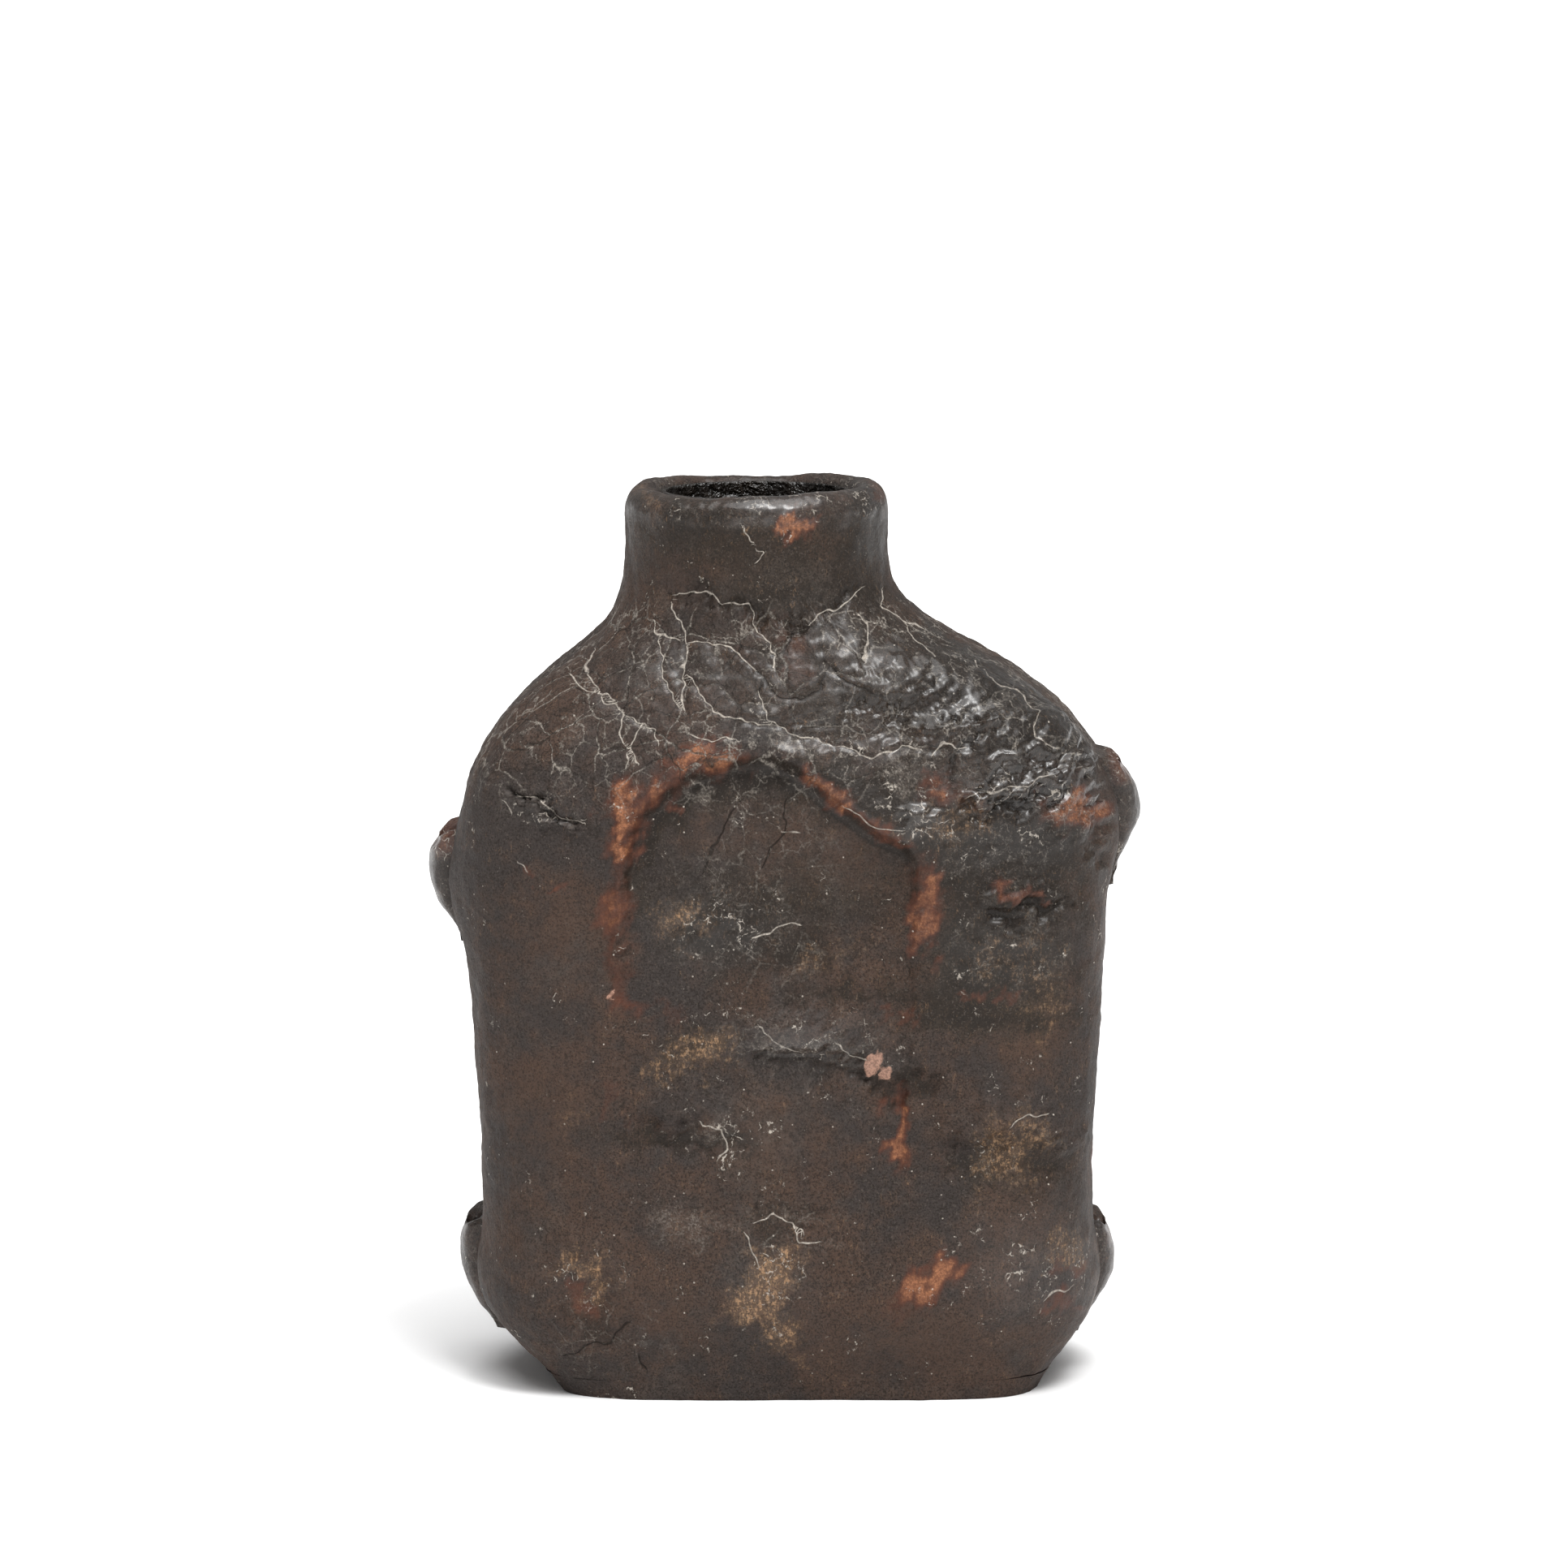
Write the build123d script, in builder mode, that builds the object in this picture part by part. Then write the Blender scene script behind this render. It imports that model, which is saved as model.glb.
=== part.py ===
from build123d import *
import os
from math import copysign, cos, hypot, pi, sin

os.makedirs("parts", exist_ok=True)

# The bottle stands on z = 0 with its front towards -Y. The upright through x = 0, y = 0 is midway
# between the tips of its upper lugs.

# Heights of the main levels above the floor
flask_height = 240.0
foot_height = 28.0
widest_height = 150.0
neck_seam_height = 205.0
neck_foot_height = 216.0

# Reach of the sides to the left and right of the middle upright
base_left = 60.0
base_right = 68.0
foot_left = 79.0
foot_right = 81.3
body_left = 85.2
body_right = 85.4

# Depths from front to back
base_depth = 80.0
body_depth = 96.0

# Neck and mouth
neck_radius = 34.9
neck_axis = -7.4
mouth_radius = 25.5
rim_height = 11.0
rim_round = 4.5

# Leather, pitch and thread
wall = 4.5
base_thickness = 5.0
pitch_thickness = 2.0
pitch_gap = 0.6
seat_gap = 0.3
gusset_half = 21.0
thread_radius = 0.6
stitch_reach = 8.0
stitch_end_margin = 9.0
stitch_pitch = 26.0
lug_stitch_length = 7.0

# Arch-topped panel pressed into the front
arch_left = -42.0
arch_right = 36.0
arch_spring_height = 152.0
arch_crown_height = 170.0
arch_low_height = 60.0
arch_depth = 1.5

# Lugs for the carrying cord, a pair on each side
lug_reach = 18.0
lug_half_depth = 14.0
upper_channel_radius = 2.8
lower_channel_radius = 2.2
upper_strap = 3.2
lower_strap = 2.2
upper_lug_tip = 94.7
lower_left_tip = 87.2
lower_right_tip = 88.9
upper_left_low = 122.0
upper_left_high = 146.0
upper_right_low = 138.0
upper_right_high = 168.0
lower_left_low = 18.0
lower_left_high = 43.0
lower_right_low = 18.0
lower_right_high = 42.0

# What a cut reaches past the piece that it cuts
overrun = 5.0

# Squareness of a section: 2 is an ellipse, more is boxier
base_squareness = 5.0
body_squareness = 4.0
neck_squareness = 2.0
outline_steps = 16

# How the sides spread, as shares of the rise and of the spread between two levels
foot_shares = [(0.0, 0.0), (0.08, 0.11), (0.25, 0.31), (0.4, 0.54), (0.58, 0.82), (0.78, 0.95)]
side_shares = [(0.0, 0.0), (0.15, 0.05), (0.4, 0.34), (0.64, 0.62), (0.84, 0.86)]
# The same on the shoulders, counted down from the neck: rise, left spread, right spread, depth
shoulder_shares = [
    (0.0, 1.0, 1.0, 1.0),
    (0.2, 0.95, 0.975, 0.93),
    (0.34, 0.848, 0.903, 0.82),
    (0.47, 0.675, 0.763, 0.66),
    (0.606, 0.447, 0.565, 0.46),
    (0.72, 0.21, 0.345, 0.27),
    (0.8, 0.095, 0.175, 0.14),
    (0.864, 0.048, 0.08, 0.07),
    (1.0, 0.0, 0.0, 0.0),
]
# A lug's reach at shares of its height, from its lower end up
lug_shares = [(0.0, 0.95), (0.4, 1.0), (1.0, 0.97)]
# A lug's stitches: place across it and up it
lug_stitch_shares = [(-0.6, 0.5), (0.6, 0.5)]
arch_fade_share = 0.2

rim_low_height = flask_height - rim_height
rim_width = neck_radius - mouth_radius
stitch_inset = wall / 2


def between(start, end, share):
    return start + (end - start) * share


def outer_sections():
    """Height, left edge, right edge, half depth and squareness of each level, from the floor up."""
    levels = []
    for rise, spread in foot_shares:
        left = between(base_left, foot_left, spread)
        right = between(base_right, foot_right, spread)
        half_depth = between(base_depth, body_depth, spread * spread) / 2
        squareness = between(base_squareness, body_squareness, spread)
        levels.append((foot_height * rise, -left, right, half_depth, squareness))
    for rise, spread in side_shares:
        height = between(foot_height, widest_height, rise)
        left = between(foot_left, body_left, spread)
        right = between(foot_right, body_right, spread)
        levels.append((height, -left, right, body_depth / 2, body_squareness))
    for rise, left_spread, right_spread, depth_spread in shoulder_shares:
        height = between(widest_height, neck_foot_height, rise)
        left = between(neck_axis - neck_radius, -body_left, left_spread)
        right = between(neck_axis + neck_radius, body_right, right_spread)
        half_depth = between(neck_radius, body_depth / 2, depth_spread)
        squareness = between(neck_squareness, body_squareness, depth_spread)
        levels.append((height, left, right, half_depth, squareness))
    neck_left, neck_right = neck_axis - neck_radius, neck_axis + neck_radius
    levels.append((rim_low_height + overrun, neck_left, neck_right, neck_radius, neck_squareness))
    return levels


def inset_sections(inset_at):
    """The levels drawn in by a wall's thickness measured square to the slanting wall."""
    levels = outer_sections()
    drawn = []
    for place, (height, left, right, half_depth, squareness) in enumerate(levels):
        below = levels[max(place - 1, 0)]
        above = levels[min(place + 1, len(levels) - 1)]
        rise = above[0] - below[0]
        inset = inset_at(height)
        left_inset = inset * hypot(1, (above[1] - below[1]) / rise)
        right_inset = inset * hypot(1, (above[2] - below[2]) / rise)
        depth_inset = inset * hypot(1, (above[3] - below[3]) / rise)
        drawn.append((height, left + left_inset, right - right_inset, half_depth - depth_inset, squareness))
    return drawn


def outline_point(section, angle):
    """A point of a level's outline: a rounded box whose corners sharpen with its squareness."""
    height, left, right, half_depth, squareness = section
    power = 2 / squareness
    along = copysign(abs(cos(angle)) ** power, cos(angle))
    across = copysign(abs(sin(angle)) ** power, sin(angle))
    return Vector((left + right) / 2 + along * (right - left) / 2, across * half_depth, height)


def section_at(height, inset):
    """The level at any height, read between the two levels beside it."""
    levels = inset_sections(lambda level: inset)
    for low, high in zip(levels, levels[1:]):
        if low[0] <= height <= high[0]:
            share = (height - low[0]) / (high[0] - low[0])
            return tuple(between(a, b, share) for a, b in zip(low, high))


def flask_form(inset_at):
    """The whole bottle as one solid form, drawn in by an inset that may change with height."""
    with BuildPart() as form:
        for section in inset_sections(inset_at):
            angles = [2 * pi * step / outline_steps - pi / 2 for step in range(outline_steps)]
            points = [outline_point(section, angle) for angle in angles]
            with BuildSketch(Plane.XY.offset(section[0])):
                with BuildLine():
                    Spline(*[(point.X, point.Y) for point in points], periodic=True)
                make_face()
        loft(ruled=True)
    return form.part


outer_form = flask_form(lambda height: 0)
lug_seat_form = flask_form(lambda height: -seat_gap)
flesh_form = flask_form(lambda height: wall)
pitch_form = flask_form(lambda height: wall + pitch_gap)
cavity_form = flask_form(lambda height: wall + pitch_gap + pitch_thickness)


# The stitches. Each is a short straight run of waxed thread inside the thickness of the leather,
# across the butted edges of two pieces.


def stitch_plane(start, end):
    """A plane at the middle of a stitch, square to its thread."""
    return Plane(origin=(start + end) / 2, z_dir=end - start)


def upright_seam(side, face):
    """Stitches up the seam between a side gusset (side -1 or 1) and the front or back (face -1 or 1)."""
    low = base_thickness + stitch_end_margin
    high = neck_seam_height - stitch_end_margin
    count = round((high - low) / stitch_pitch)
    planes = []
    for step in range(count + 1):
        section = section_at(between(low, high, step / count), stitch_inset)
        height, left, right, half_depth, squareness = section
        ends = []
        for reach in (-stitch_reach / 2, stitch_reach / 2):
            across = gusset_half + reach
            along = (1 - (across / half_depth) ** squareness) ** (1 / squareness)
            ends.append(Vector((left + right) / 2 + side * along * (right - left) / 2, face * across, height))
        planes.append(stitch_plane(*ends))
    return planes


def level_seam(height, below, above):
    """Stitches round a level seam, from a way below it to a way above it."""
    low_section = section_at(height - below, stitch_inset)
    high_section = section_at(height + above, stitch_inset)
    girth = pi * ((high_section[2] - high_section[1]) / 2 + high_section[3])
    count = round(girth / stitch_pitch)
    planes = []
    for step in range(count):
        angle = 2 * pi * (step + 0.5) / count
        planes.append(stitch_plane(outline_point(low_section, angle), outline_point(high_section, angle)))
    return planes


base_stitch_depth = base_thickness / 2
rim_stitch_depth = rim_height / 3
base_stitch_length = base_stitch_depth + stitch_reach / 2
rim_stitch_length = rim_stitch_depth + stitch_reach / 2

left_front_seam = upright_seam(-1, -1)
left_back_seam = upright_seam(-1, 1)
right_front_seam = upright_seam(1, -1)
right_back_seam = upright_seam(1, 1)
base_seam = level_seam(base_thickness, base_stitch_depth, stitch_reach / 2)
neck_seam = level_seam(neck_seam_height, stitch_reach / 2, stitch_reach / 2)
rim_seam = level_seam(rim_low_height, stitch_reach / 2, rim_stitch_depth)


# The leather wall of the body before it is cut into its panels

with BuildPart() as body_wall:
    add(outer_form)
    add(flesh_form, mode=Mode.SUBTRACT)
    split(bisect_by=Plane.XY.offset(base_thickness), keep=Keep.TOP)
    split(bisect_by=Plane.XY.offset(neck_seam_height), keep=Keep.BOTTOM)

front_plane = Plane.XZ.offset(gusset_half)
back_plane = Plane.XZ.offset(-gusset_half)

# The arch-topped panel: what pressing takes away from the front. It is deepest under the arch and
# fades towards its lower end.


def arch_inset(height):
    rise = (height - arch_low_height) / (arch_spring_height - arch_low_height)
    return arch_depth * min(max(rise, arch_fade_share), 1)


arch_floor_form = flask_form(arch_inset)

with BuildPart() as arch_pressing:
    with BuildSketch(front_plane):
        with BuildLine():
            Polyline(
                (arch_left, arch_spring_height),
                (arch_left, arch_low_height),
                (arch_right, arch_low_height),
                (arch_right, arch_spring_height),
            )
            ThreePointArc(
                (arch_right, arch_spring_height),
                ((arch_left + arch_right) / 2, arch_crown_height),
                (arch_left, arch_spring_height),
            )
        make_face()
    extrude(amount=body_depth / 2)
    add(arch_floor_form, mode=Mode.SUBTRACT)

# Front panel: shell of moulded leather from the base seam to the neck seam

with BuildPart() as front_panel:
    add(body_wall.part)
    split(bisect_by=front_plane, keep=Keep.TOP)
    add(arch_pressing.part, mode=Mode.SUBTRACT)

front_panel.part.label = "front_panel"
export_step(front_panel.part, "parts/front_panel.step")

# Back panel: the same shell without the arch

with BuildPart() as back_panel:
    add(body_wall.part)
    split(bisect_by=back_plane, keep=Keep.BOTTOM)

back_panel.part.label = "back_panel"
export_step(back_panel.part, "parts/back_panel.step")

# Base panel: the thick sole that the bottle stands on

with BuildPart() as base_panel:
    add(outer_form)
    split(bisect_by=Plane.XY.offset(base_thickness), keep=Keep.BOTTOM)

base_panel.part.label = "base_panel"
export_step(base_panel.part, "parts/base_panel.step")

# Neck tube: from the neck seam on the shoulders to the rolled rim

with BuildPart() as neck_tube:
    add(outer_form)
    add(flesh_form, mode=Mode.SUBTRACT)
    split(bisect_by=Plane.XY.offset(neck_seam_height), keep=Keep.TOP)
    split(bisect_by=Plane.XY.offset(rim_low_height), keep=Keep.BOTTOM)

neck_tube.part.label = "neck_tube"
export_step(neck_tube.part, "parts/neck_tube.step")

# Mouth rim: a band of leather rolled over and hammered down round the mouth

with BuildPart() as mouth_rim:
    with BuildSketch(Plane.XZ) as rim_outline:
        with Locations((neck_axis + mouth_radius, rim_low_height)):
            Rectangle(rim_width, rim_height, align=(Align.MIN, Align.MIN))
        fillet(rim_outline.vertices().group_by(Axis.Y)[-1], radius=rim_round)
    revolve(axis=Axis((neck_axis, 0, 0), (0, 0, 1)))

mouth_rim.part.label = "mouth_rim"
export_step(mouth_rim.part, "parts/mouth_rim.step")

# Pitch lining: brewer's pitch poured in hot and swilled round, from the base to under the rim

with BuildPart() as cavity:
    add(cavity_form)
    split(bisect_by=Plane.XY.offset(base_thickness + pitch_thickness), keep=Keep.TOP)

with BuildPart() as pitch_lining:
    add(pitch_form)
    split(bisect_by=Plane.XY.offset(base_thickness), keep=Keep.TOP)
    add(cavity.part, mode=Mode.SUBTRACT)
    split(bisect_by=Plane.XY.offset(rim_low_height), keep=Keep.BOTTOM)

pitch_lining.part.label = "pitch_lining"
export_step(pitch_lining.part, "parts/pitch_lining.step")


# Lugs: thick tabs on the side gussets, each with an upright channel for the carrying cord. Each
# is held by two stitches that run into the gusset.


def lug_stitches(side, low, high):
    planes = []
    for across_share, rise_share in lug_stitch_shares:
        height = between(low, high, rise_share)
        across = lug_half_depth * across_share
        section = section_at(height, stitch_inset)
        squareness = section[4]
        along = (1 - abs(across / section[3]) ** squareness) ** (1 / squareness)
        reach = (section[1] + section[2]) / 2 + side * along * (section[2] - section[1]) / 2
        middle = reach + side * lug_stitch_length / 2
        planes.append(Plane(origin=(middle, across, height), z_dir=(side, 0, 0)))
    return planes


def make_lug(name, side, low, high, tip, channel_radius, strap):
    channel = side * (tip - strap - channel_radius)
    with BuildPart() as lug:
        for rise_share, reach_share in lug_shares:
            with BuildSketch(Plane.XY.offset(between(low, high, rise_share))):
                with Locations((side * (tip - lug_reach), 0)):
                    Ellipse(lug_reach * reach_share, lug_half_depth * reach_share)
        loft()
        add(lug_seat_form, mode=Mode.SUBTRACT)
        with Locations((channel, 0, low - overrun)):
            Cylinder(
                channel_radius,
                high - low + 2 * overrun,
                align=(Align.CENTER, Align.CENTER, Align.MIN),
                mode=Mode.SUBTRACT,
            )
    lug.part.label = name
    export_step(lug.part, f"parts/{name}.step")
    print(name, "channel at x", round(channel, 2), "from", low, "to", high)


upper = (upper_channel_radius, upper_strap)
lower = (lower_channel_radius, lower_strap)
lugs = [
    ("upper_left_lug", -1, upper_left_low, upper_left_high, upper_lug_tip, upper),
    ("upper_right_lug", 1, upper_right_low, upper_right_high, upper_lug_tip, upper),
    ("lower_left_lug", -1, lower_left_low, lower_left_high, lower_left_tip, lower),
    ("lower_right_lug", 1, lower_right_low, lower_right_high, lower_right_tip, lower),
]
for name, side, low, high, tip, (channel_radius, strap) in lugs:
    make_lug(name, side, low, high, tip, channel_radius, strap)

# Side gussets: the narrow walls that join front and back and carry the lugs


def make_gusset(name, side):
    with BuildPart() as gusset:
        add(body_wall.part)
        split(bisect_by=front_plane, keep=Keep.BOTTOM)
        split(bisect_by=back_plane, keep=Keep.TOP)
        split(bisect_by=Plane.YZ, keep=Keep.TOP if side > 0 else Keep.BOTTOM)
    gusset.part.label = name
    export_step(gusset.part, f"parts/{name}.step")


make_gusset("left_gusset", -1)
make_gusset("right_gusset", 1)


# The thread itself, seam by seam


def make_stitches(name, planes, length):
    with BuildPart() as stitches:
        with Locations(*planes):
            Cylinder(thread_radius, length)
    stitches.part.label = name
    export_step(stitches.part, f"parts/{name}.step")


make_stitches("left_front_seam_stitches", left_front_seam, stitch_reach)
make_stitches("left_back_seam_stitches", left_back_seam, stitch_reach)
make_stitches("right_front_seam_stitches", right_front_seam, stitch_reach)
make_stitches("right_back_seam_stitches", right_back_seam, stitch_reach)
make_stitches("base_seam_stitches", base_seam, base_stitch_length)
make_stitches("neck_seam_stitches", neck_seam, stitch_reach)
make_stitches("rim_stitches", rim_seam, rim_stitch_length)
for name, side, low, high, *others in lugs:
    make_stitches(f"{name}_stitches", lug_stitches(side, low, high), lug_stitch_length)
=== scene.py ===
from math import cos, pi, radians, sin

import bpy
import numpy as np
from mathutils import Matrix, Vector


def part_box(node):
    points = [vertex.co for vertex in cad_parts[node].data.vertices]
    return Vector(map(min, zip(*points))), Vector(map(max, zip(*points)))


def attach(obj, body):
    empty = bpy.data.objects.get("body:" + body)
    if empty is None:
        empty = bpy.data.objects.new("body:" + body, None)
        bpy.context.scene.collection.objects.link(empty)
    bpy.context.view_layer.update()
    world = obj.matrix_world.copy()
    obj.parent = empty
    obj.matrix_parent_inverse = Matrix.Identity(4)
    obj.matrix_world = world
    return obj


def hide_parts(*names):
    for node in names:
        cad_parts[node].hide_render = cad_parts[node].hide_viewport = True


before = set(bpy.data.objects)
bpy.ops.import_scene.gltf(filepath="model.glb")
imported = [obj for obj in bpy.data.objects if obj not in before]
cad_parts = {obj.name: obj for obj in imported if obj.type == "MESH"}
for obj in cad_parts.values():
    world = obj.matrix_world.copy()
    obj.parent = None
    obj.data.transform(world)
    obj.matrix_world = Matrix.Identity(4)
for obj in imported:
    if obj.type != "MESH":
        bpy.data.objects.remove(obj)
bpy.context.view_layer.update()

# Camera and studio: a long lens two metres in front of the flask and 8 degrees above its middle, a broad
# soft light overhead, one from the right in front, a small one that glints, and a pale floor in white.
photo_side = 1932
lens = 172.6
sensor_width = 36.0
camera_distance = 2.0
camera_rise = radians(8.0)
aim = np.array((0.0, 0.0, 0.1585))
towards_camera = np.array((0.0, -cos(camera_rise), sin(camera_rise)))
camera_up = np.array((0.0, sin(camera_rise), cos(camera_rise)))
camera_place = aim + camera_distance * towards_camera
ambient_light = 0.26
backdrop_light = 1.2
soft_lights = {
    "key_light": {"power": 0.8, "spread": radians(52), "from": (0.30, -0.80, 0.95)},
    "overhead_light": {"power": 2.7, "spread": radians(60), "from": (0.04, -0.16, 1.0)},
    "sparkle_light": {"power": 1.5, "spread": radians(16), "from": (0.24, -0.52, 0.98)},
}
floor_half = 14.0
floor_mottle = 0.6
floor_colour = (0.95, 0.95, 0.95, 1.0)
floor_light_colour = (0.97, 0.97, 0.97, 1.0)


class Wire:
    """A node's output. Arithmetic on it adds Math nodes."""

    def __init__(self, graph, socket):
        self.graph = graph
        self.socket = socket

    def maths(self, operation, first, second=0.0):
        return self.graph.add("ShaderNodeMath", {"operation": operation}, {0: first, 1: second})

    def __add__(self, other):
        return self.maths("ADD", self, other)

    def __radd__(self, other):
        return self.maths("ADD", other, self)

    def __sub__(self, other):
        return self.maths("SUBTRACT", self, other)

    def __rsub__(self, other):
        return self.maths("SUBTRACT", other, self)

    def __mul__(self, other):
        return self.maths("MULTIPLY", self, other)

    def __rmul__(self, other):
        return self.maths("MULTIPLY", other, self)

    def larger(self, other):
        return self.maths("MAXIMUM", self, other)

    def smaller(self, other):
        return self.maths("MINIMUM", self, other)

    def between(self, low, high):
        """0 below low, 1 above high and a soft rise from one to the other."""
        kind = {"interpolation_type": "SMOOTHSTEP"}
        return self.graph.add("ShaderNodeMapRange", kind, {0: self, 1: low, 2: high})


class Graph:
    """A node tree that is built one node at a time."""

    def __init__(self, tree):
        self.tree = tree

    def add(self, kind, settings=None, sockets=None, output=0):
        node = self.tree.nodes.new(kind)
        settings = dict(settings or {})
        stops = settings.pop("stops", None)
        for name, value in settings.items():
            setattr(node, name, value)
        if stops:
            elements = node.color_ramp.elements
            while len(elements) < len(stops):
                elements.new(0.5)
            for element, (place, colour) in zip(elements, stops):
                element.position = place
                element.color = (*colour, 1.0)
        for name, value in (sockets or {}).items():
            if isinstance(value, Wire):
                self.tree.links.new(value.socket, node.inputs[name])
            else:
                node.inputs[name].default_value = value
        return Wire(self, node.outputs[output] if node.outputs else None)

    def noise(self, place, size, detail=3.0, roughness=0.55, distortion=0.0, output=0):
        """Soft noise whose blotches measure about the size given."""
        sockets = {
            "Vector": place,
            "Scale": 1.0 / size,
            "Detail": detail,
            "Roughness": roughness,
            "Distortion": distortion,
        }
        return self.add("ShaderNodeTexNoise", {}, sockets, output)

    def tint(self, share, low, high):
        """A colour between two, by a share from 0 to 1."""
        sockets = {0: share, 6: low, 7: high}
        return self.add("ShaderNodeMix", {"data_type": "RGBA"}, sockets, 2)

    def warped(self, place, size, amount):
        """A place that soft noise shifts by up to the amount."""
        drift = self.noise(place, size, detail=2.0, output=1)
        centred = self.add("ShaderNodeVectorMath", {"operation": "SUBTRACT"}, {0: drift, 1: (0.5, 0.5, 0.5)})
        scaled = self.add("ShaderNodeVectorMath", {"operation": "SCALE"}, {0: centred, 3: amount})
        return self.add("ShaderNodeVectorMath", {}, {0: place, 1: scaled})

    def crack_distance(self, place, size):
        """How far a place is from the nearest crack of a net whose cells measure about the size given."""
        kind = {"feature": "DISTANCE_TO_EDGE"}
        return self.add("ShaderNodeTexVoronoi", kind, {"Vector": place, "Scale": 1.0 / size})


def new_material(name):
    material = bpy.data.materials.new(name)
    material.use_nodes = True
    material.node_tree.nodes.clear()
    return material, Graph(material.node_tree)


camera_data = bpy.data.cameras.new("camera")
camera_data.lens = lens
camera_data.sensor_width = sensor_width
camera = bpy.data.objects.new("camera", camera_data)
camera.location = camera_place
camera.rotation_euler = (pi / 2 - camera_rise, 0.0, 0.0)
bpy.context.scene.collection.objects.link(camera)
bpy.context.scene.camera = camera
bpy.context.scene.view_settings.view_transform = "Standard"

for name, light in soft_lights.items():
    lamp_data = bpy.data.lights.new(name, "SUN")
    lamp_data.energy = light["power"]
    lamp_data.angle = light["spread"]
    lamp = bpy.data.objects.new(name, lamp_data)
    lamp.rotation_euler = Vector(light["from"]).to_track_quat("Z", "Y").to_euler()
    bpy.context.scene.collection.objects.link(lamp)

world = bpy.data.worlds.new("studio")
world.use_nodes = True
world.node_tree.nodes.clear()
studio = Graph(world.node_tree)
seen_directly = studio.add("ShaderNodeLightPath", {}, {}, "Is Camera Ray")
brightness = ambient_light + seen_directly * (backdrop_light - ambient_light)
surround = studio.add("ShaderNodeBackground", {}, {"Color": (1.0, 1.0, 1.0, 1.0), "Strength": brightness})
studio.add("ShaderNodeOutputWorld", {}, {"Surface": surround})
bpy.context.scene.world = world

floor_material, graph = new_material("floor_paper")
place = graph.add("ShaderNodeTexCoord", {}, {}, "Object")
paper = graph.tint(graph.noise(place, floor_mottle), floor_colour, floor_light_colour)
surface = graph.add("ShaderNodeBsdfDiffuse", {}, {"Color": paper})
graph.add("ShaderNodeOutputMaterial", {}, {"Surface": surface})
floor_mesh = bpy.data.meshes.new("floor")
corners = [(-floor_half, -floor_half, 0.0), (floor_half, -floor_half, 0.0)]
corners += [(floor_half, floor_half, 0.0), (-floor_half, floor_half, 0.0)]
floor_mesh.from_pydata(corners, [], [(0, 1, 2, 3)])
floor_mesh.materials.append(floor_material)
floor = bpy.data.objects.new("floor", floor_mesh)
bpy.context.scene.collection.objects.link(floor)

# Body of the flask: a front panel, a back panel and two side gussets of thick hide, wetted, moulded over a
# core and stitched inside. Only the dressed, cracked and rubbed outside shows, with an arch pressed in front.
rim_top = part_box("mouth_rim")[1][2]
rim_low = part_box("mouth_rim")[0][2]
neck_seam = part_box("neck_tube")[0][2]
base_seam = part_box("base_panel")[1][2]
neck_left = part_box("mouth_rim")[0][0]
neck_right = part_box("mouth_rim")[1][0]
neck_radius = (neck_right - neck_left) / 2
neck_axis = (neck_right + neck_left) / 2
body_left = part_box("left_gusset")[0][0]
body_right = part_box("right_gusset")[1][0]
body_half_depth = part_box("back_panel")[1][1]
gusset_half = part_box("left_gusset")[1][1]
foot_height = 0.028
widest_height = 0.150
neck_foot = 0.216
base_left, base_right, base_half_depth = -0.060, 0.068, 0.040
foot_left, foot_right = -0.079, 0.0813
base_squareness, body_squareness, neck_squareness = 5.4, 4.7, 2.0
leather_wall = 0.0045
profile_softening = 0.011
grid_step = 0.0008
skin_ratio = 3
front_columns, gusset_columns = 252, 54
profile_samples, slope_samples, front_samples, gusset_samples = 1200, 500, 1500, 200

foot_shares = [(0.0, 0.0), (0.08, 0.11), (0.25, 0.31), (0.4, 0.54), (0.58, 0.82), (0.78, 0.95)]
side_shares = [(0.0, 0.0), (0.15, 0.05), (0.4, 0.34), (0.64, 0.62), (0.84, 0.86)]
shoulder_shares = [
    (0.0, 1.0, 1.0, 1.0),
    (0.2, 0.95, 0.975, 0.93),
    (0.34, 0.848, 0.903, 0.82),
    (0.47, 0.675, 0.763, 0.66),
    (0.606, 0.447, 0.565, 0.46),
    (0.72, 0.21, 0.345, 0.27),
    (0.8, 0.095, 0.175, 0.14),
    (0.864, 0.048, 0.08, 0.07),
    (1.0, 0.0, 0.0, 0.0),
]


def mix(start, end, share):
    return start + (end - start) * share


def ease(value, low, high):
    """0 below low, 1 above high and a soft rise from one to the other."""
    share = np.clip((value - low) / (high - low), 0.0, 1.0)
    return share * share * (3 - 2 * share)


def level_table():
    """Height, left edge, right edge, half depth and squareness of the outline, from the floor to the rim."""
    table = []
    for rise, spread in foot_shares:
        half_depth = mix(base_half_depth, body_half_depth, spread * spread)
        squareness = mix(base_squareness, body_squareness, spread)
        edges = (mix(base_left, foot_left, spread), mix(base_right, foot_right, spread))
        table.append((foot_height * rise, *edges, half_depth, squareness))
    for rise, spread in side_shares:
        edges = (mix(foot_left, body_left, spread), mix(foot_right, body_right, spread))
        table.append((mix(foot_height, widest_height, rise), *edges, body_half_depth, body_squareness))
    for rise, left_spread, right_spread, depth_spread in shoulder_shares:
        edges = (mix(neck_left, body_left, left_spread), mix(neck_right, body_right, right_spread))
        half_depth = mix(neck_radius, body_half_depth, depth_spread)
        squareness = mix(neck_squareness, body_squareness, depth_spread)
        table.append((mix(widest_height, neck_foot, rise), *edges, half_depth, squareness))
    table.append((rim_top, neck_left, neck_right, neck_radius, neck_squareness))
    return np.array(table)


def softened(values, reach):
    """A row of values after a moving average, with its ends kept in line."""
    padded = np.pad(values, reach, mode="reflect", reflect_type="odd")
    window = np.hanning(2 * reach + 3)[1:-1]
    return np.convolve(padded, window / window.sum(), mode="valid")


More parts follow.
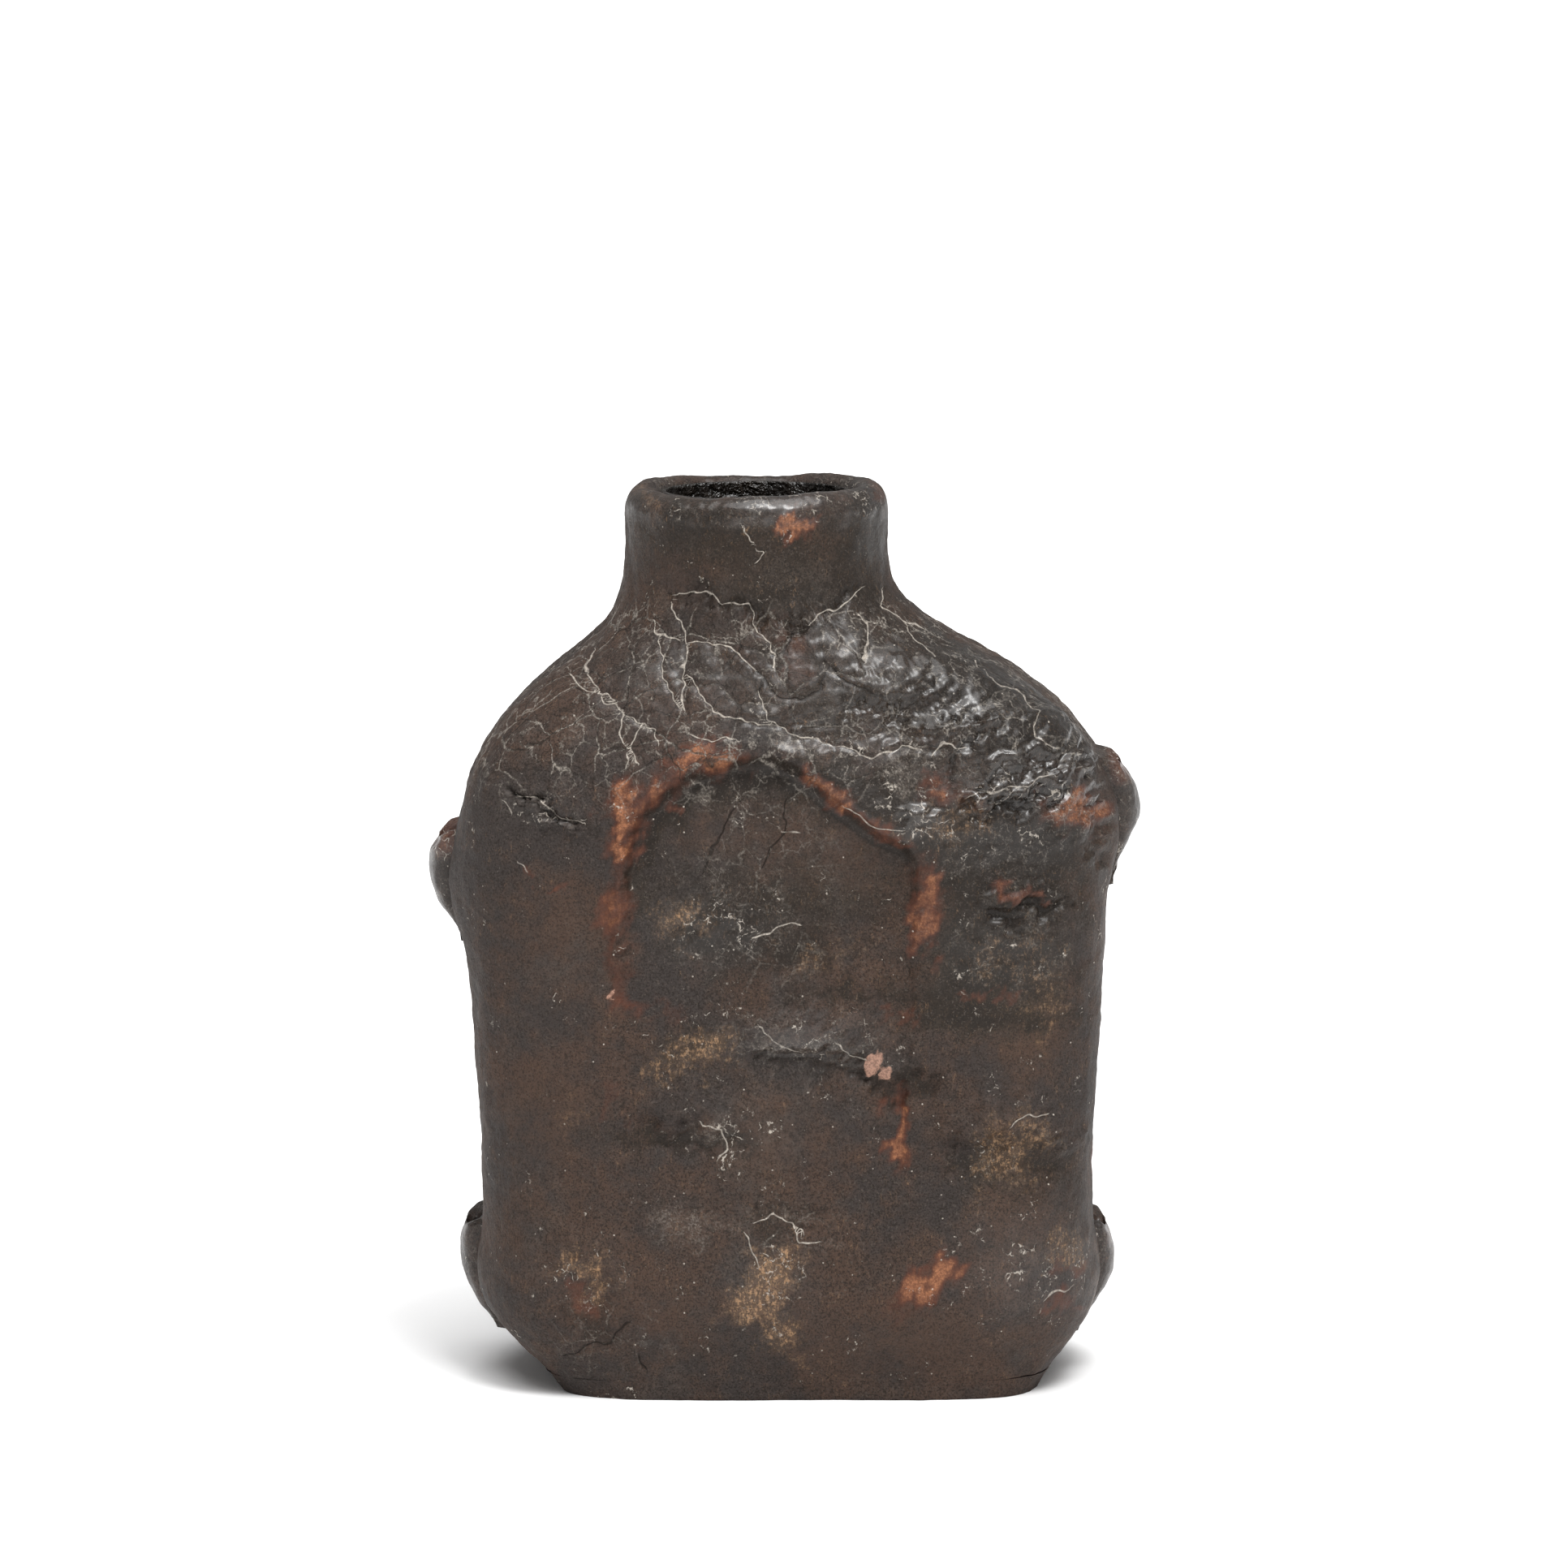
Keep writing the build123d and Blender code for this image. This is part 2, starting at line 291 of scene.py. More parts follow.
fine_heights = np.linspace(0.0, rim_top, profile_samples + 1)
fine_reach = round(profile_softening / (rim_top / profile_samples))
levels = level_table()
fine_levels = [np.interp(fine_heights, levels[:, 0], column) for column in levels.T[1:]]
fine_levels = [softened(column, fine_reach) for column in fine_levels]


def sections(heights):
    """Left edge, right edge, half depth and squareness at each height."""
    return np.stack([np.interp(heights, fine_heights, column) for column in fine_levels], axis=-1)


def row_heights(low, high):
    """Heights of rows an even distance apart along the slope of the side."""
    heights = np.linspace(low, high, slope_samples)
    steps = np.hypot(np.diff(heights), np.diff(sections(heights)[:, 0]))
    lengths = np.concatenate(([0.0], np.cumsum(steps)))
    count = skin_ratio * round(lengths[-1] / grid_step / skin_ratio)
    return np.interp(np.linspace(0.0, lengths[-1], count + 1), lengths, heights)


def spaced(line, count):
    """Points an even distance apart along a line in plan, without its last point."""
    steps = np.hypot(*np.diff(line, axis=0).T)
    lengths = np.concatenate(([0.0], np.cumsum(steps)))
    places = np.linspace(0.0, lengths[-1], count + 1)[:-1]
    return np.stack([np.interp(places, lengths, column) for column in line.T], axis=-1)


def outline_row(section, height):
    """A row of the outer skin: front from left to right, right gusset, back, left gusset."""
    left, right, half_depth, squareness = section
    middle, half_width = (left + right) / 2, (right - left) / 2
    power = 2 / squareness
    edge_angle = np.arcsin((gusset_half / half_depth) ** (1 / power))
    sweep = np.linspace(edge_angle, pi - edge_angle, front_samples)
    along = -np.copysign(np.abs(np.cos(sweep)) ** power, np.cos(sweep))
    front = np.stack([middle + half_width * along, -half_depth * np.sin(sweep) ** power], axis=-1)
    across = np.linspace(-gusset_half, gusset_half, gusset_samples)
    reach = half_width * (1 - np.abs(across / half_depth) ** squareness) ** (1 / squareness)
    right_side = np.stack([middle + reach, across], axis=-1)
    left_side = np.stack([middle - reach, across], axis=-1)[::-1]
    back = front[::-1] * (1.0, -1.0)
    parts = [spaced(front, front_columns), spaced(right_side, gusset_columns)]
    parts += [spaced(back, front_columns), spaced(left_side, gusset_columns)]
    plan = np.concatenate(parts)
    return np.column_stack([plan, np.full(len(plan), height)])


base_rows = np.linspace(0.0, base_seam, 2 * skin_ratio + 1)
body_rows = row_heights(base_seam, neck_seam)
neck_rows = row_heights(neck_seam, rim_low)
skin_heights = np.concatenate([base_rows, body_rows[1:], neck_rows[1:]])
base_end = len(base_rows) - 1
body_end = base_end + len(body_rows) - 1
skin = np.stack([outline_row(*row) for row in zip(sections(skin_heights), skin_heights)])
skin_columns = skin.shape[1]


def outward_of(grid):
    """Directions square to a grid of points whose columns close into a loop."""
    around = np.roll(grid, -1, axis=1) - np.roll(grid, 1, axis=1)
    upward = np.gradient(grid, axis=0)
    normal = np.cross(around, upward)
    return normal / np.linalg.norm(normal, axis=-1, keepdims=True)


def photo_pixels(points):
    """Where points of the object fall in the photograph, counted in its pixels."""
    offset = points - camera_place
    scale = photo_side * lens / sensor_width / -(offset @ towards_camera)
    return photo_side / 2 + scale * offset[..., 0], photo_side / 2 - scale * (offset @ camera_up)


skin_outward = outward_of(skin)

# Marks are placed in pixels of the photograph. Small waves push the pixels about, so that what is drawn there
# gets ragged outlines: the size and the push of each set of waves, in pixels.
wander_seed = 7
waves_each = 4
mark_waves = [(46.0, 3.6), (17.0, 2.0), (8.0, 1.1)]
crack_waves = [(38.0, 1.1), (14.0, 0.5)]
crack_falloff = 15.0
far_away, far_side = 1e9, 1e3
barely_facing, fully_facing = 0.001, 0.25


def wandered(x, y, waves):
    """Pixels pushed about by small waves."""
    chance = np.random.default_rng(wander_seed)
    shift_x, shift_y = np.zeros_like(x), np.zeros_like(y)
    for size, push in waves:
        for turn in range(waves_each):
            way, phase_x, phase_y = chance.uniform(0.0, 2 * pi, 3)
            along = (x * cos(way) + y * sin(way)) * 2 * pi / size
            shift_x += push * np.sin(along + phase_x)
            shift_y += push * np.sin(along + phase_y)
    return x + shift_x, y + shift_y


def distance_to(line, at_x, at_y):
    """Distance in pixels from each place to a line, and its side of it: 1 on the left, -1 on the right."""
    nearest = np.full(len(at_x), far_away)
    side = np.ones(len(at_x))
    for (x0, y0), (x1, y1) in zip(line, line[1:]):
        run_x, run_y = x1 - x0, y1 - y0
        share = np.clip(((at_x - x0) * run_x + (at_y - y0) * run_y) / (run_x**2 + run_y**2), 0, 1)
        away = np.hypot(at_x - mix(x0, x1, share), at_y - mix(y0, y1, share))
        nearer = away < nearest
        side = np.where(nearer, np.sign((at_x - x0) * run_y - (at_y - y0) * run_x), side)
        nearest = np.where(nearer, away, nearest)
    return nearest, side


class Sight:
    """The points of a grid that the camera sees, and marks drawn over them in the photograph's pixels."""

    def __init__(self, points, outward):
        self.shape = points.shape[:2]
        self.facing = ease(outward @ towards_camera, 0.0, fully_facing)
        self.seen = np.nonzero(self.facing > barely_facing)
        self.x, self.y = [pixels[self.seen] for pixels in photo_pixels(points)]
        self.mark_x, self.mark_y = wandered(self.x, self.y, mark_waves)
        self.crack_x, self.crack_y = wandered(self.x, self.y, crack_waves)

    def spread(self, values):
        """Values of the visible points laid out on the whole grid, 0 elsewhere."""
        field = np.zeros(self.shape)
        field[self.seen] = values
        return field * self.facing

    def strokes(self, table):
        """Soft strokes, each with a strength, a half width in pixels and the line that it follows."""
        total = np.zeros(len(self.x))
        for strength, half_width, line in table:
            total += strength * np.exp(-((distance_to(line, self.mark_x, self.mark_y)[0] / half_width) ** 2))
        return self.spread(total)

    def patches(self, table):
        """Soft oval patches, each with a strength, a middle and two half widths in pixels."""
        total = np.zeros(len(self.x))
        for strength, x, y, half_width, half_height in table:
            across, upward = (self.mark_x - x) / half_width, (self.mark_y - y) / half_height
            total += strength * np.exp(-(across**2 + upward**2))
        return self.spread(total)

    def crack_lines(self, table):
        """How near each crack is, by its strength, and the signed distance to the nearest one in pixels."""
        total = np.zeros(len(self.x))
        nearest, signed = np.full(len(self.x), far_away), np.full(len(self.x), far_side)
        for strength, line in table:
            away, side = distance_to(line, self.crack_x, self.crack_y)
            total = np.maximum(total, strength * np.clip(1 - away / crack_falloff, 0.0, 1.0))
            signed = np.where(away < nearest, away * side, signed)
            nearest = np.minimum(nearest, away)
        sides = np.full(self.shape, far_side)
        sides[self.seen] = signed
        return self.spread(total), sides


skin_sight = Sight(skin, skin_outward)
seen_x, seen_y = skin_sight.x, skin_sight.y

# The pressed arch, in pixels of the photograph: its edge from the lower left over the top to the lower right,
# how far from it the press and the raised crest reach, and where both fade out below
arch_edge = [(752, 1480), (757, 1300), (764, 1150), (770, 1050), (782, 1012), (812, 982), (850, 957)]
arch_edge += [(898, 939), (950, 934), (985, 948), (1012, 972), (1041, 996), (1086, 1028), (1118, 1042)]
arch_edge += [(1132, 1065), (1134, 1180), (1128, 1300), (1122, 1480)]
arch_press = 0.0034
arch_crest = 0.0026
press_from, press_full, crest_full, crest_width = -4.0, 14.0, 12.0, 40
arch_fades = [(0.75, 1040.0, 1240.0), (0.25, 1240.0, 1470.0)]
crest_ends, crest_starts = 1120.0, 960.0


def inside_arch():
    """1 for each visible skin point that lies within the arch's edge."""
    within = np.zeros(len(seen_x), dtype=bool)
    for (x0, y0), (x1, y1) in zip(arch_edge, arch_edge[1:] + arch_edge[:1]):
        crosses = (y0 > seen_y) != (y1 > seen_y)
        rise = y1 - y0 if y1 != y0 else 1.0
        within ^= crosses & (seen_x < x0 + (seen_y - y0) / rise * (x1 - x0))
    return within


within_arch = inside_arch()
arch_distance = distance_to(arch_edge, seen_x, seen_y)[0]
arch_fade = 1.0
for share, upper, lower in arch_fades:
    arch_fade = arch_fade - share * ease(seen_y, upper, lower)
press = np.where(within_arch, ease(arch_distance, press_from, press_full), 0.0)
crest_band = ease(arch_distance, press_from, crest_full) * np.exp(-((arch_distance / crest_width) ** 2))
crest_band = np.where(within_arch, 0.0, crest_band)
crest_band *= ease(-seen_y, -crest_ends, -crest_starts)
relief = skin_sight.spread(-arch_press * press * arch_fade + arch_crest * crest_band)

# Folds, ridges and dents that handling and drying left: height in metres, half width and line in pixels
right_crease = [(1190, 1003), (1240, 993), (1285, 985), (1310, 972)]
side_crease = [(1225, 1132), (1250, 1126), (1283, 1117), (1310, 1118)]
folds = [
    (0.0009, 8, [(766, 985), (768, 1060), (764, 1200)]),
    (0.0007, 9, [(1132, 1075), (1134, 1180), (1126, 1300), (1120, 1430)]),
    (0.0013, 9, [(1192, 987), (1235, 975), (1270, 968), (1300, 955), (1325, 940)]),
    (-0.0012, 8, right_crease),
    (0.0010, 7, [(1205, 958), (1235, 953), (1262, 958)]),
    (0.0008, 5, [(1212, 944), (1250, 934), (1300, 926)]),
    (0.0008, 5, [(1216, 990), (1256, 979), (1302, 970)]),
    (-0.0007, 5, [(1205, 966), (1250, 950), (1300, 942)]),
    (0.0007, 6, [(1150, 905), (1185, 893), (1225, 900)]),
    (-0.0008, 8, [(1040, 880), (1075, 872), (1110, 880)]),
    (-0.0011, 9, side_crease),
    (0.0008, 9, [(1215, 1112), (1260, 1104), (1300, 1098)]),
    (-0.0013, 4, [(638, 980), (660, 985), (690, 1008), (716, 1016)]),
    (0.0010, 6, [(636, 988), (660, 994), (688, 1018), (714, 1026)]),
    (-0.0010, 8, [(1170, 955), (1185, 930), (1200, 905)]),
    (0.0012, 10, [(1120, 1000), (1133, 1006), (1146, 1012)]),
    (0.0007, 16, [(930, 1275), (985, 1270), (1040, 1290)]),
    (-0.0010, 8, [(935, 1300), (990, 1305), (1050, 1310), (1068, 1330)]),
    (-0.0009, 14, [(1085, 1345), (1115, 1340), (1140, 1330)]),
    (-0.0007, 18, [(790, 1400), (850, 1408), (905, 1400)]),
    (0.0005, 20, [(800, 1370), (870, 1372), (930, 1380)]),
    (-0.0006, 10, [(930, 1500), (965, 1492), (1005, 1505)]),
    (-0.0007, 22, [(700, 1560), (735, 1580), (740, 1620)]),
    (0.0006, 16, [(670, 1540), (720, 1535), (750, 1570)]),
    (-0.0008, 26, [(1180, 1430), (1230, 1420), (1290, 1430)]),
    (0.0009, 20, [(1165, 1400), (1240, 1385), (1300, 1395)]),
    (-0.0009, 7, [(828, 736), (860, 731), (890, 744), (922, 744), (930, 762)]),
    (-0.0008, 7, [(965, 772), (990, 760), (1015, 752), (1045, 733)]),
    (0.0008, 22, [(1080, 850), (1140, 820), (1200, 840)]),
    (-0.0008, 14, [(1105, 880), (1150, 870), (1190, 885)]),
    (0.0009, 18, [(1190, 905), (1250, 890), (1300, 905)]),
    (-0.0012, 10, [(1345, 925), (1352, 960), (1348, 1010), (1358, 1060)]),
]
fold_strength = 1.6
relief += fold_strength * skin_sight.strokes(folds)

# Broad swellings and hollows: height in metres, middle and half widths in pixels
broad_swells = [
    (-0.0012, 660, 1380, 60, 130),
    (0.0020, 985, 1262, 70, 34),
    (-0.0018, 1000, 1325, 90, 22),
    (-0.0012, 1110, 1350, 40, 26),
    (0.0018, 1240, 1375, 80, 30),
    (-0.0016, 1230, 1440, 80, 30),
    (0.0010, 850, 1360, 80, 24),
    (-0.0010, 850, 1412, 80, 22),
    (0.0012, 900, 1130, 90, 40),
    (0.0014, 1180, 940, 50, 40),
    (-0.0016, 1110, 905, 30, 22),
    (0.0012, 725, 1545, 50, 26),
    (-0.0014, 720, 1600, 40, 30),
    (0.0014, 950, 860, 150, 60),
    (-0.0010, 1010, 905, 90, 20),
    (0.0016, 1260, 905, 90, 50),
    (-0.0014, 1230, 1060, 60, 40),
    (0.0010, 1290, 1180, 60, 60),
]
relief += skin_sight.patches(broad_swells)

# Where the gussets and corners swell out into the roots of the lugs: side, height in metres, level, and
# how far the swelling spreads up and down
lug_roots = [
    (-1, 0.0036, 0.133, 0.014),
    (1, 0.0036, 0.150, 0.016),
    (-1, 0.0030, 0.030, 0.012),
    (1, 0.0030, 0.030, 0.012),
]
root_across, root_spread = 0.0175, 0.0095
for side, height, level, spread in lug_roots:
    beside = np.exp(-(((np.abs(skin[..., 1]) - root_across) / root_spread) ** 2))
    beside = np.where(np.abs(skin[..., 1]) < root_across, 1.0, beside)
    along = np.exp(-(((skin[..., 2] - level) / spread) ** 2))
    relief += height * beside * along * (skin[..., 0] * side > 0)

# Cracks that open in the stiff old dressing on the shoulders and round the neck's foot: strength and line
# in pixels
pale_cracks = [
    (1.0, [(824, 742), (836, 765), (846, 795), (840, 824), (843, 877)]),
    (0.9, [(811, 783), (816, 820), (822, 848), (840, 874)]),
    (0.8, [(802, 762), (805, 780), (835, 786)]),
    (0.95, [(729, 798), (720, 827), (738, 848), (741, 865), (764, 871), (788, 894), (808, 900), (811, 918)]),
    (0.85, [(788, 894), (779, 924), (785, 941)]),
    (0.9, [(828, 732), (876, 730), (890, 745), (922, 742), (931, 771), (955, 806), (952, 824)]),
    (0.85, [(846, 792), (881, 792), (911, 806), (931, 827)]),
    (0.95, [(999, 765), (1019, 751), (1043, 742), (1060, 724)]),
    (0.95, [(1090, 728), (1087, 748), (1110, 762), (1140, 774)]),
    (0.8, [(1110, 762), (1128, 790), (1150, 812)]),
    (0.8, [(1060, 760), (1070, 790), (1064, 815)]),
    (0.85, [(846, 830), (881, 880), (922, 889), (946, 894)]),
    (0.85, [(934, 853), (946, 886), (975, 906), (1010, 912)]),
    (0.95, [(1010, 912), (1046, 924), (1075, 935), (1093, 930), (1110, 918), (1131, 924)]),
    (0.85, [(700, 830), (722, 850), (748, 856), (770, 880)]),
    (0.85, [(770, 880), (762, 905), (776, 925), (772, 945)]),
    (0.8, [(852, 906), (875, 915), (905, 912)]),
    (0.70, [(905, 988), (931, 1006), (966, 1026), (996, 1029)]),
    (0.9, [(931, 1158), (953, 1143), (984, 1140)]),
    (0.85, [(931, 1506), (953, 1496), (973, 1505), (990, 1520)]),
    (0.85, [(975, 1508), (985, 1530), (1010, 1528)]),
    (0.9, [(918, 1520), (929, 1545), (934, 1562)]),
    (0.85, [(864, 1385), (890, 1392), (894, 1412), (884, 1428)]),
    (0.8, [(622, 987), (631, 1004)]),
    (0.95, [(638, 979), (660, 984), (690, 1007), (716, 1015)]),
    (0.8, [(1240, 1385), (1262, 1370), (1290, 1372)]),
    (0.9, [(915, 650), (927, 668)]),
    (0.8, [(930, 690), (940, 682), (930, 676)]),
    (0.85, [(1250, 850), (1275, 880), (1268, 905), (1290, 925)]),
    (0.8, [(1200, 815), (1225, 845), (1250, 850)]),
    (0.95, [(1190, 984), (1225, 974), (1262, 970), (1290, 958)]),
    (0.85, [(1148, 930), (1165, 918), (1188, 920)]),
    (0.9, [(1040, 993), (1062, 1010), (1090, 1022), (1112, 1024)]),
    (0.8, [(640, 1064), (648, 1072)]),
    (0.8, [(935, 1262), (960, 1290), (985, 1296)]),
    (0.8, [(1030, 1285), (1050, 1302), (1066, 1306)]),
    (0.85, [(1290, 1602), (1305, 1590), (1318, 1584)]),
]
dark_cracks = [
    (1.0, [(955, 806), (975, 790), (999, 765)]),
    (0.95, [(940, 836), (958, 859), (987, 865), (1010, 853), (1022, 824)]),
    (0.9, [(931, 827), (940, 836), (934, 853)]),
    (0.9, [(696, 1670), (735, 1655), (753, 1656), (774, 1630)]),
    (0.85, [(786, 1670), (797, 1688)]),
    (0.85, [(966, 1024), (969, 988)]),
    (0.85, [(911, 988), (893, 1022), (875, 1053), (864, 1076)]),
    (0.85, [(966, 1026), (950, 1046), (938, 1070)]),
    (0.8, [(1025, 825), (1055, 850), (1090, 860)]),
    (0.9, [(640, 984), (662, 992), (690, 1016)]),
]
pale_crack_field, pale_crack_side = skin_sight.crack_lines(pale_cracks)
dark_crack_field, dark_crack_side = skin_sight.crack_lines(dark_cracks)
crack_cut = 0.0004
cut_from, cut_full = 0.55, 0.95
cuts = ease(pale_crack_field, cut_from, cut_full) + ease(dark_crack_field, cut_from, cut_full)
relief -= crack_cut * cuts
deepest = 0.0036
relief = np.maximum(relief, -deepest)

# Places where the dark dressing is rubbed through to orange hide: strength, half width and line in pixels
rubbed = [
    (1.0, 13, [(768, 980), (770, 1015), (767, 1050)]),
    (0.45, 24, [(764, 985), (766, 1060), (760, 1130)]),
    (0.5, 18, [(750, 1120), (756, 1180), (764, 1235)]),
    (1.0, 15, [(840, 935), (866, 930), (890, 936)]),
    (0.5, 22, [(800, 975), (835, 945), (900, 934)]),
    (1.0, 11, [(1000, 960), (1020, 976), (1042, 994)]),
    (0.6, 8, [(1042, 994), (1080, 1024), (1112, 1040)]),
    (0.7, 9, [(806, 975), (823, 993)]),
    (0.5, 22, [(1150, 970), (1185, 985)]),
    (0.6, 8, [(1150, 966), (1157, 972)]),
    (0.8, 9, [(1234, 1094), (1257, 1104), (1280, 1102)]),
    (0.7, 13, [(1149, 1079), (1136, 1126), (1130, 1169)]),
    (0.4, 22, [(1146, 1080), (1132, 1180)]),
    (0.5, 6, [(1180, 1232), (1243, 1226)]),
    (0.5, 6, [(1085, 1247), (1108, 1250), (1130, 1256)]),
    (0.9, 9, [(1109, 1358), (1111, 1390), (1106, 1424)]),
    (0.4, 16, [(1109, 1345), (1108, 1430)]),
    (1.0, 16, [(1130, 1592), (1150, 1574), (1165, 1564)]),
    (0.4, 26, [(1110, 1605), (1165, 1575)]),
    (0.35, 14, [(778, 1240), (838, 1247)]),
    (0.7, 5, [(682, 1095), (697, 1095)]),
    (0.6, 4, [(652, 1073), (652, 1083)]),
    (1.1, 10, [(966, 654), (976, 646), (988, 642)]),
    (0.55, 12, [(970, 660), (1010, 642)]),
    (0.4, 12, [(1074, 594), (1086, 600)]),
    (0.9, 14, [(1308, 996), (1335, 990), (1355, 992)]),
    (0.45, 24, [(1300, 1000), (1350, 1004)]),
    (0.6, 8, [(1328, 1013), (1340, 1013)]),
    (0.6, 11, [(1298, 1567), (1330, 1560)]),
    (0.6, 11, [(1294, 1610), (1318, 1603)]),
    (0.35, 30, [(975, 800), (990, 835)]),
    (0.4, 14, [(748, 1340), (752, 1380)]),
    (0.35, 12, [(560, 1035), (556, 1045)]),
    (0.6, 10, [(700, 1590), (716, 1600), (724, 1620)]),
]
rubbed_field = skin_sight.strokes(rubbed)

# Ochre scuffs, dry whitish bloom, bare pink hide and glossy places: strength, middle and half widths
ochre_scuffs = [
    (0.7, 840, 1132, 44, 26),
    (0.75, 878, 1290, 34, 26),
    (0.5, 820, 1300, 30, 20),
    (0.35, 1235, 1180, 72, 44),
    (0.8, 716, 1560, 44, 20),
    (0.8, 735, 1590, 16, 32),
    (1.0, 958, 1560, 34, 26),
    (1.0, 925, 1605, 40, 26),
    (0.7, 965, 1645, 26, 26),
    (0.4, 980, 1680, 14, 14),
    (0.8, 1245, 1420, 56, 50),
    (0.5, 951, 650, 12, 8),
    (0.5, 920, 655, 20, 10),
    (0.4, 810, 1330, 40, 16),
    (0.4, 700, 1380, 30, 30),
    (0.4, 1010, 1180, 60, 30),
    (0.6, 1310, 1540, 40, 30),
    (0.5, 560, 1040, 12, 10),
    (0.5, 800, 610, 30, 12),
    (0.5, 1180, 1010, 60, 40),
    (0.4, 1290, 1250, 40, 60),
]
bloom_patches = [
    (0.9, 844, 1510, 50, 34),
    (0.8, 880, 1395, 34, 26),
    (0.7, 1020, 1538, 18, 16),
    (0.8, 960, 1285, 40, 20),
    (0.7, 1020, 1290, 34, 20),
    (0.4, 700, 900, 60, 50),
    (0.9, 1110, 945, 40, 40),
    (0.7, 1133, 1006, 16, 13),
    (0.5, 975, 1500, 40, 18),
    (0.6, 700, 1010, 34, 14),
    (0.5, 660, 985, 26, 12),
    (0.5, 1230, 955, 80, 22),
]
bare_patches = [
    (1.0, 755, 1227, 13, 5),
    (1.1, 1083, 1316, 13, 16),
    (0.8, 1051, 1253, 5, 4),
    (0.9, 1363, 962, 7, 6),
]
glossy_patches = [
    (0.75, 990, 850, 130, 80),
    (1.2, 1250, 958, 80, 30),
    (0.8, 1295, 975, 40, 14),
    (1.1, 1133, 1006, 22, 18),
    (1.4, 957, 618, 64, 20),
    (0.4, 830, 620, 50, 18),
    (0.5, 1210, 870, 120, 70),
    (0.5, 790, 850, 90, 80),
    (0.15, 1240, 1030, 110, 40),
    (0.2, 1240, 1170, 90, 40),
    (0.15, 870, 1130, 60, 60),
    (0.5, 1000, 1280, 70, 40),
    (0.1, 1068, 640, 26, 60),
    (0.4, 1250, 1560, 60, 60),
    (0.4, 1050, 1000, 60, 30),
]

# Where the surface is closely crazed, where it stays smooth and matt, and where it glitters
fine_patches = [
    (1.0, 1225, 860, 110, 80),
    (0.9, 1300, 930, 80, 50),
    (0.35, 1120, 820, 80, 70),
    (0.7, 1320, 1000, 50, 40),
    (0.5, 1240, 1050, 90, 50),
    (0.45, 1235, 1170, 90, 50),
    (0.5, 960, 900, 110, 30),
    (0.35, 900, 1130, 80, 50),
    (0.4, 990, 1275, 80, 34),
    (0.4, 1250, 1420, 70, 40),
]
calm_patches = [
    (1.0, 1010, 1060, 110, 60),
    (0.8, 860, 1020, 70, 50),
    (0.8, 680, 1180, 80, 140),
    (0.8, 660, 1400, 80, 100),
    (0.8, 960, 1400, 110, 60),
    (0.8, 1250, 1300, 60, 60),
    (0.8, 880, 700, 90, 50),
    (0.7, 1130, 1660, 140, 40),
    (0.7, 800, 1640, 60, 60),
]
glitter_patches = [
    (1.0, 1250, 970, 90, 26),
    (0.5, 1250, 1040, 90, 30),
    (1.0, 1133, 1010, 44, 34),
    (0.9, 1075, 930, 60, 40),
    (0.2, 1240, 1165, 90, 50),
    (0.8, 1000, 1285, 90, 34),
    (0.8, 1270, 1560, 70, 60),
    (0.7, 860, 1140, 70, 50),
    (0.8, 680, 1000, 60, 20),
    (1.2, 980, 612, 100, 22),
    (0.2, 1070, 650, 24, 60),
    (0.7, 940, 1580, 60, 50),
    (0.7, 720, 1570, 50, 30),
    (0.6, 900, 1400, 60, 30),
]
ochre_field = skin_sight.patches(ochre_scuffs)
bloom_field = skin_sight.patches(bloom_patches)
bare_field = skin_sight.patches(bare_patches)
glossy_field = skin_sight.patches(glossy_patches)
fine_field = skin_sight.patches(fine_patches)
calm_field = skin_sight.patches(calm_patches)
glitter_field = skin_sight.patches(glitter_patches)

# Greenish-brown, more thickly dressed leather on the right and round the neck, with painted shade as darker
# olive strokes and narrow patches under the arch's edge and in the creases
olive_and_shade_patches = [
    (0.8, 1230, 1060, 110, 100),
    (0.8, 1230, 1200, 110, 70),
    (0.9, 920, 1130, 130, 70),
    (0.7, 995, 735, 100, 20),
    (0.6, 930, 690, 140, 60),
    (0.6, 860, 640, 90, 40),
    (0.5, 1150, 780, 120, 50),
    (0.5, 820, 820, 90, 50),
    (0.8, 1113, 1339, 30, 24),
    (0.5, 880, 1290, 70, 30),
    (0.5, 1240, 1430, 90, 60),
    (0.7, 820, 1405, 90, 16),
    (0.7, 1040, 1225, 90, 14),
    (0.6, 1190, 1255, 110, 14),
    (0.6, 1020, 1290, 50, 22),
    (0.5, 960, 1510, 50, 20),
    (0.9, 1070, 655, 40, 60),
    (0.7, 1290, 900, 60, 50),
    (1.0, 1240, 1045, 110, 50),
    (0.8, 1200, 860, 140, 70),
    (0.5, 990, 850, 130, 70),
    (0.8, 1090, 975, 70, 40),
]
# Painted shade: dark olive strokes under the arch's edge and along the creases
olive_shade_strokes = [
    (1.0, 13, [(790, 1040), (806, 1008), (845, 975), (890, 957), (935, 951), (975, 957)]),
    (0.6, 24, [(800, 1030), (850, 990), (900, 972), (950, 968)]),
    (0.8, 15, [(1010, 950), (1050, 975), (1100, 1000)]),
    (0.6, 12, [(786, 1050), (784, 1120)]),
    (0.7, 8, right_crease),
    (0.6, 9, side_crease),
]
olive_and_shade_field = skin_sight.patches(olive_and_shade_patches) + skin_sight.strokes(olive_shade_strokes)
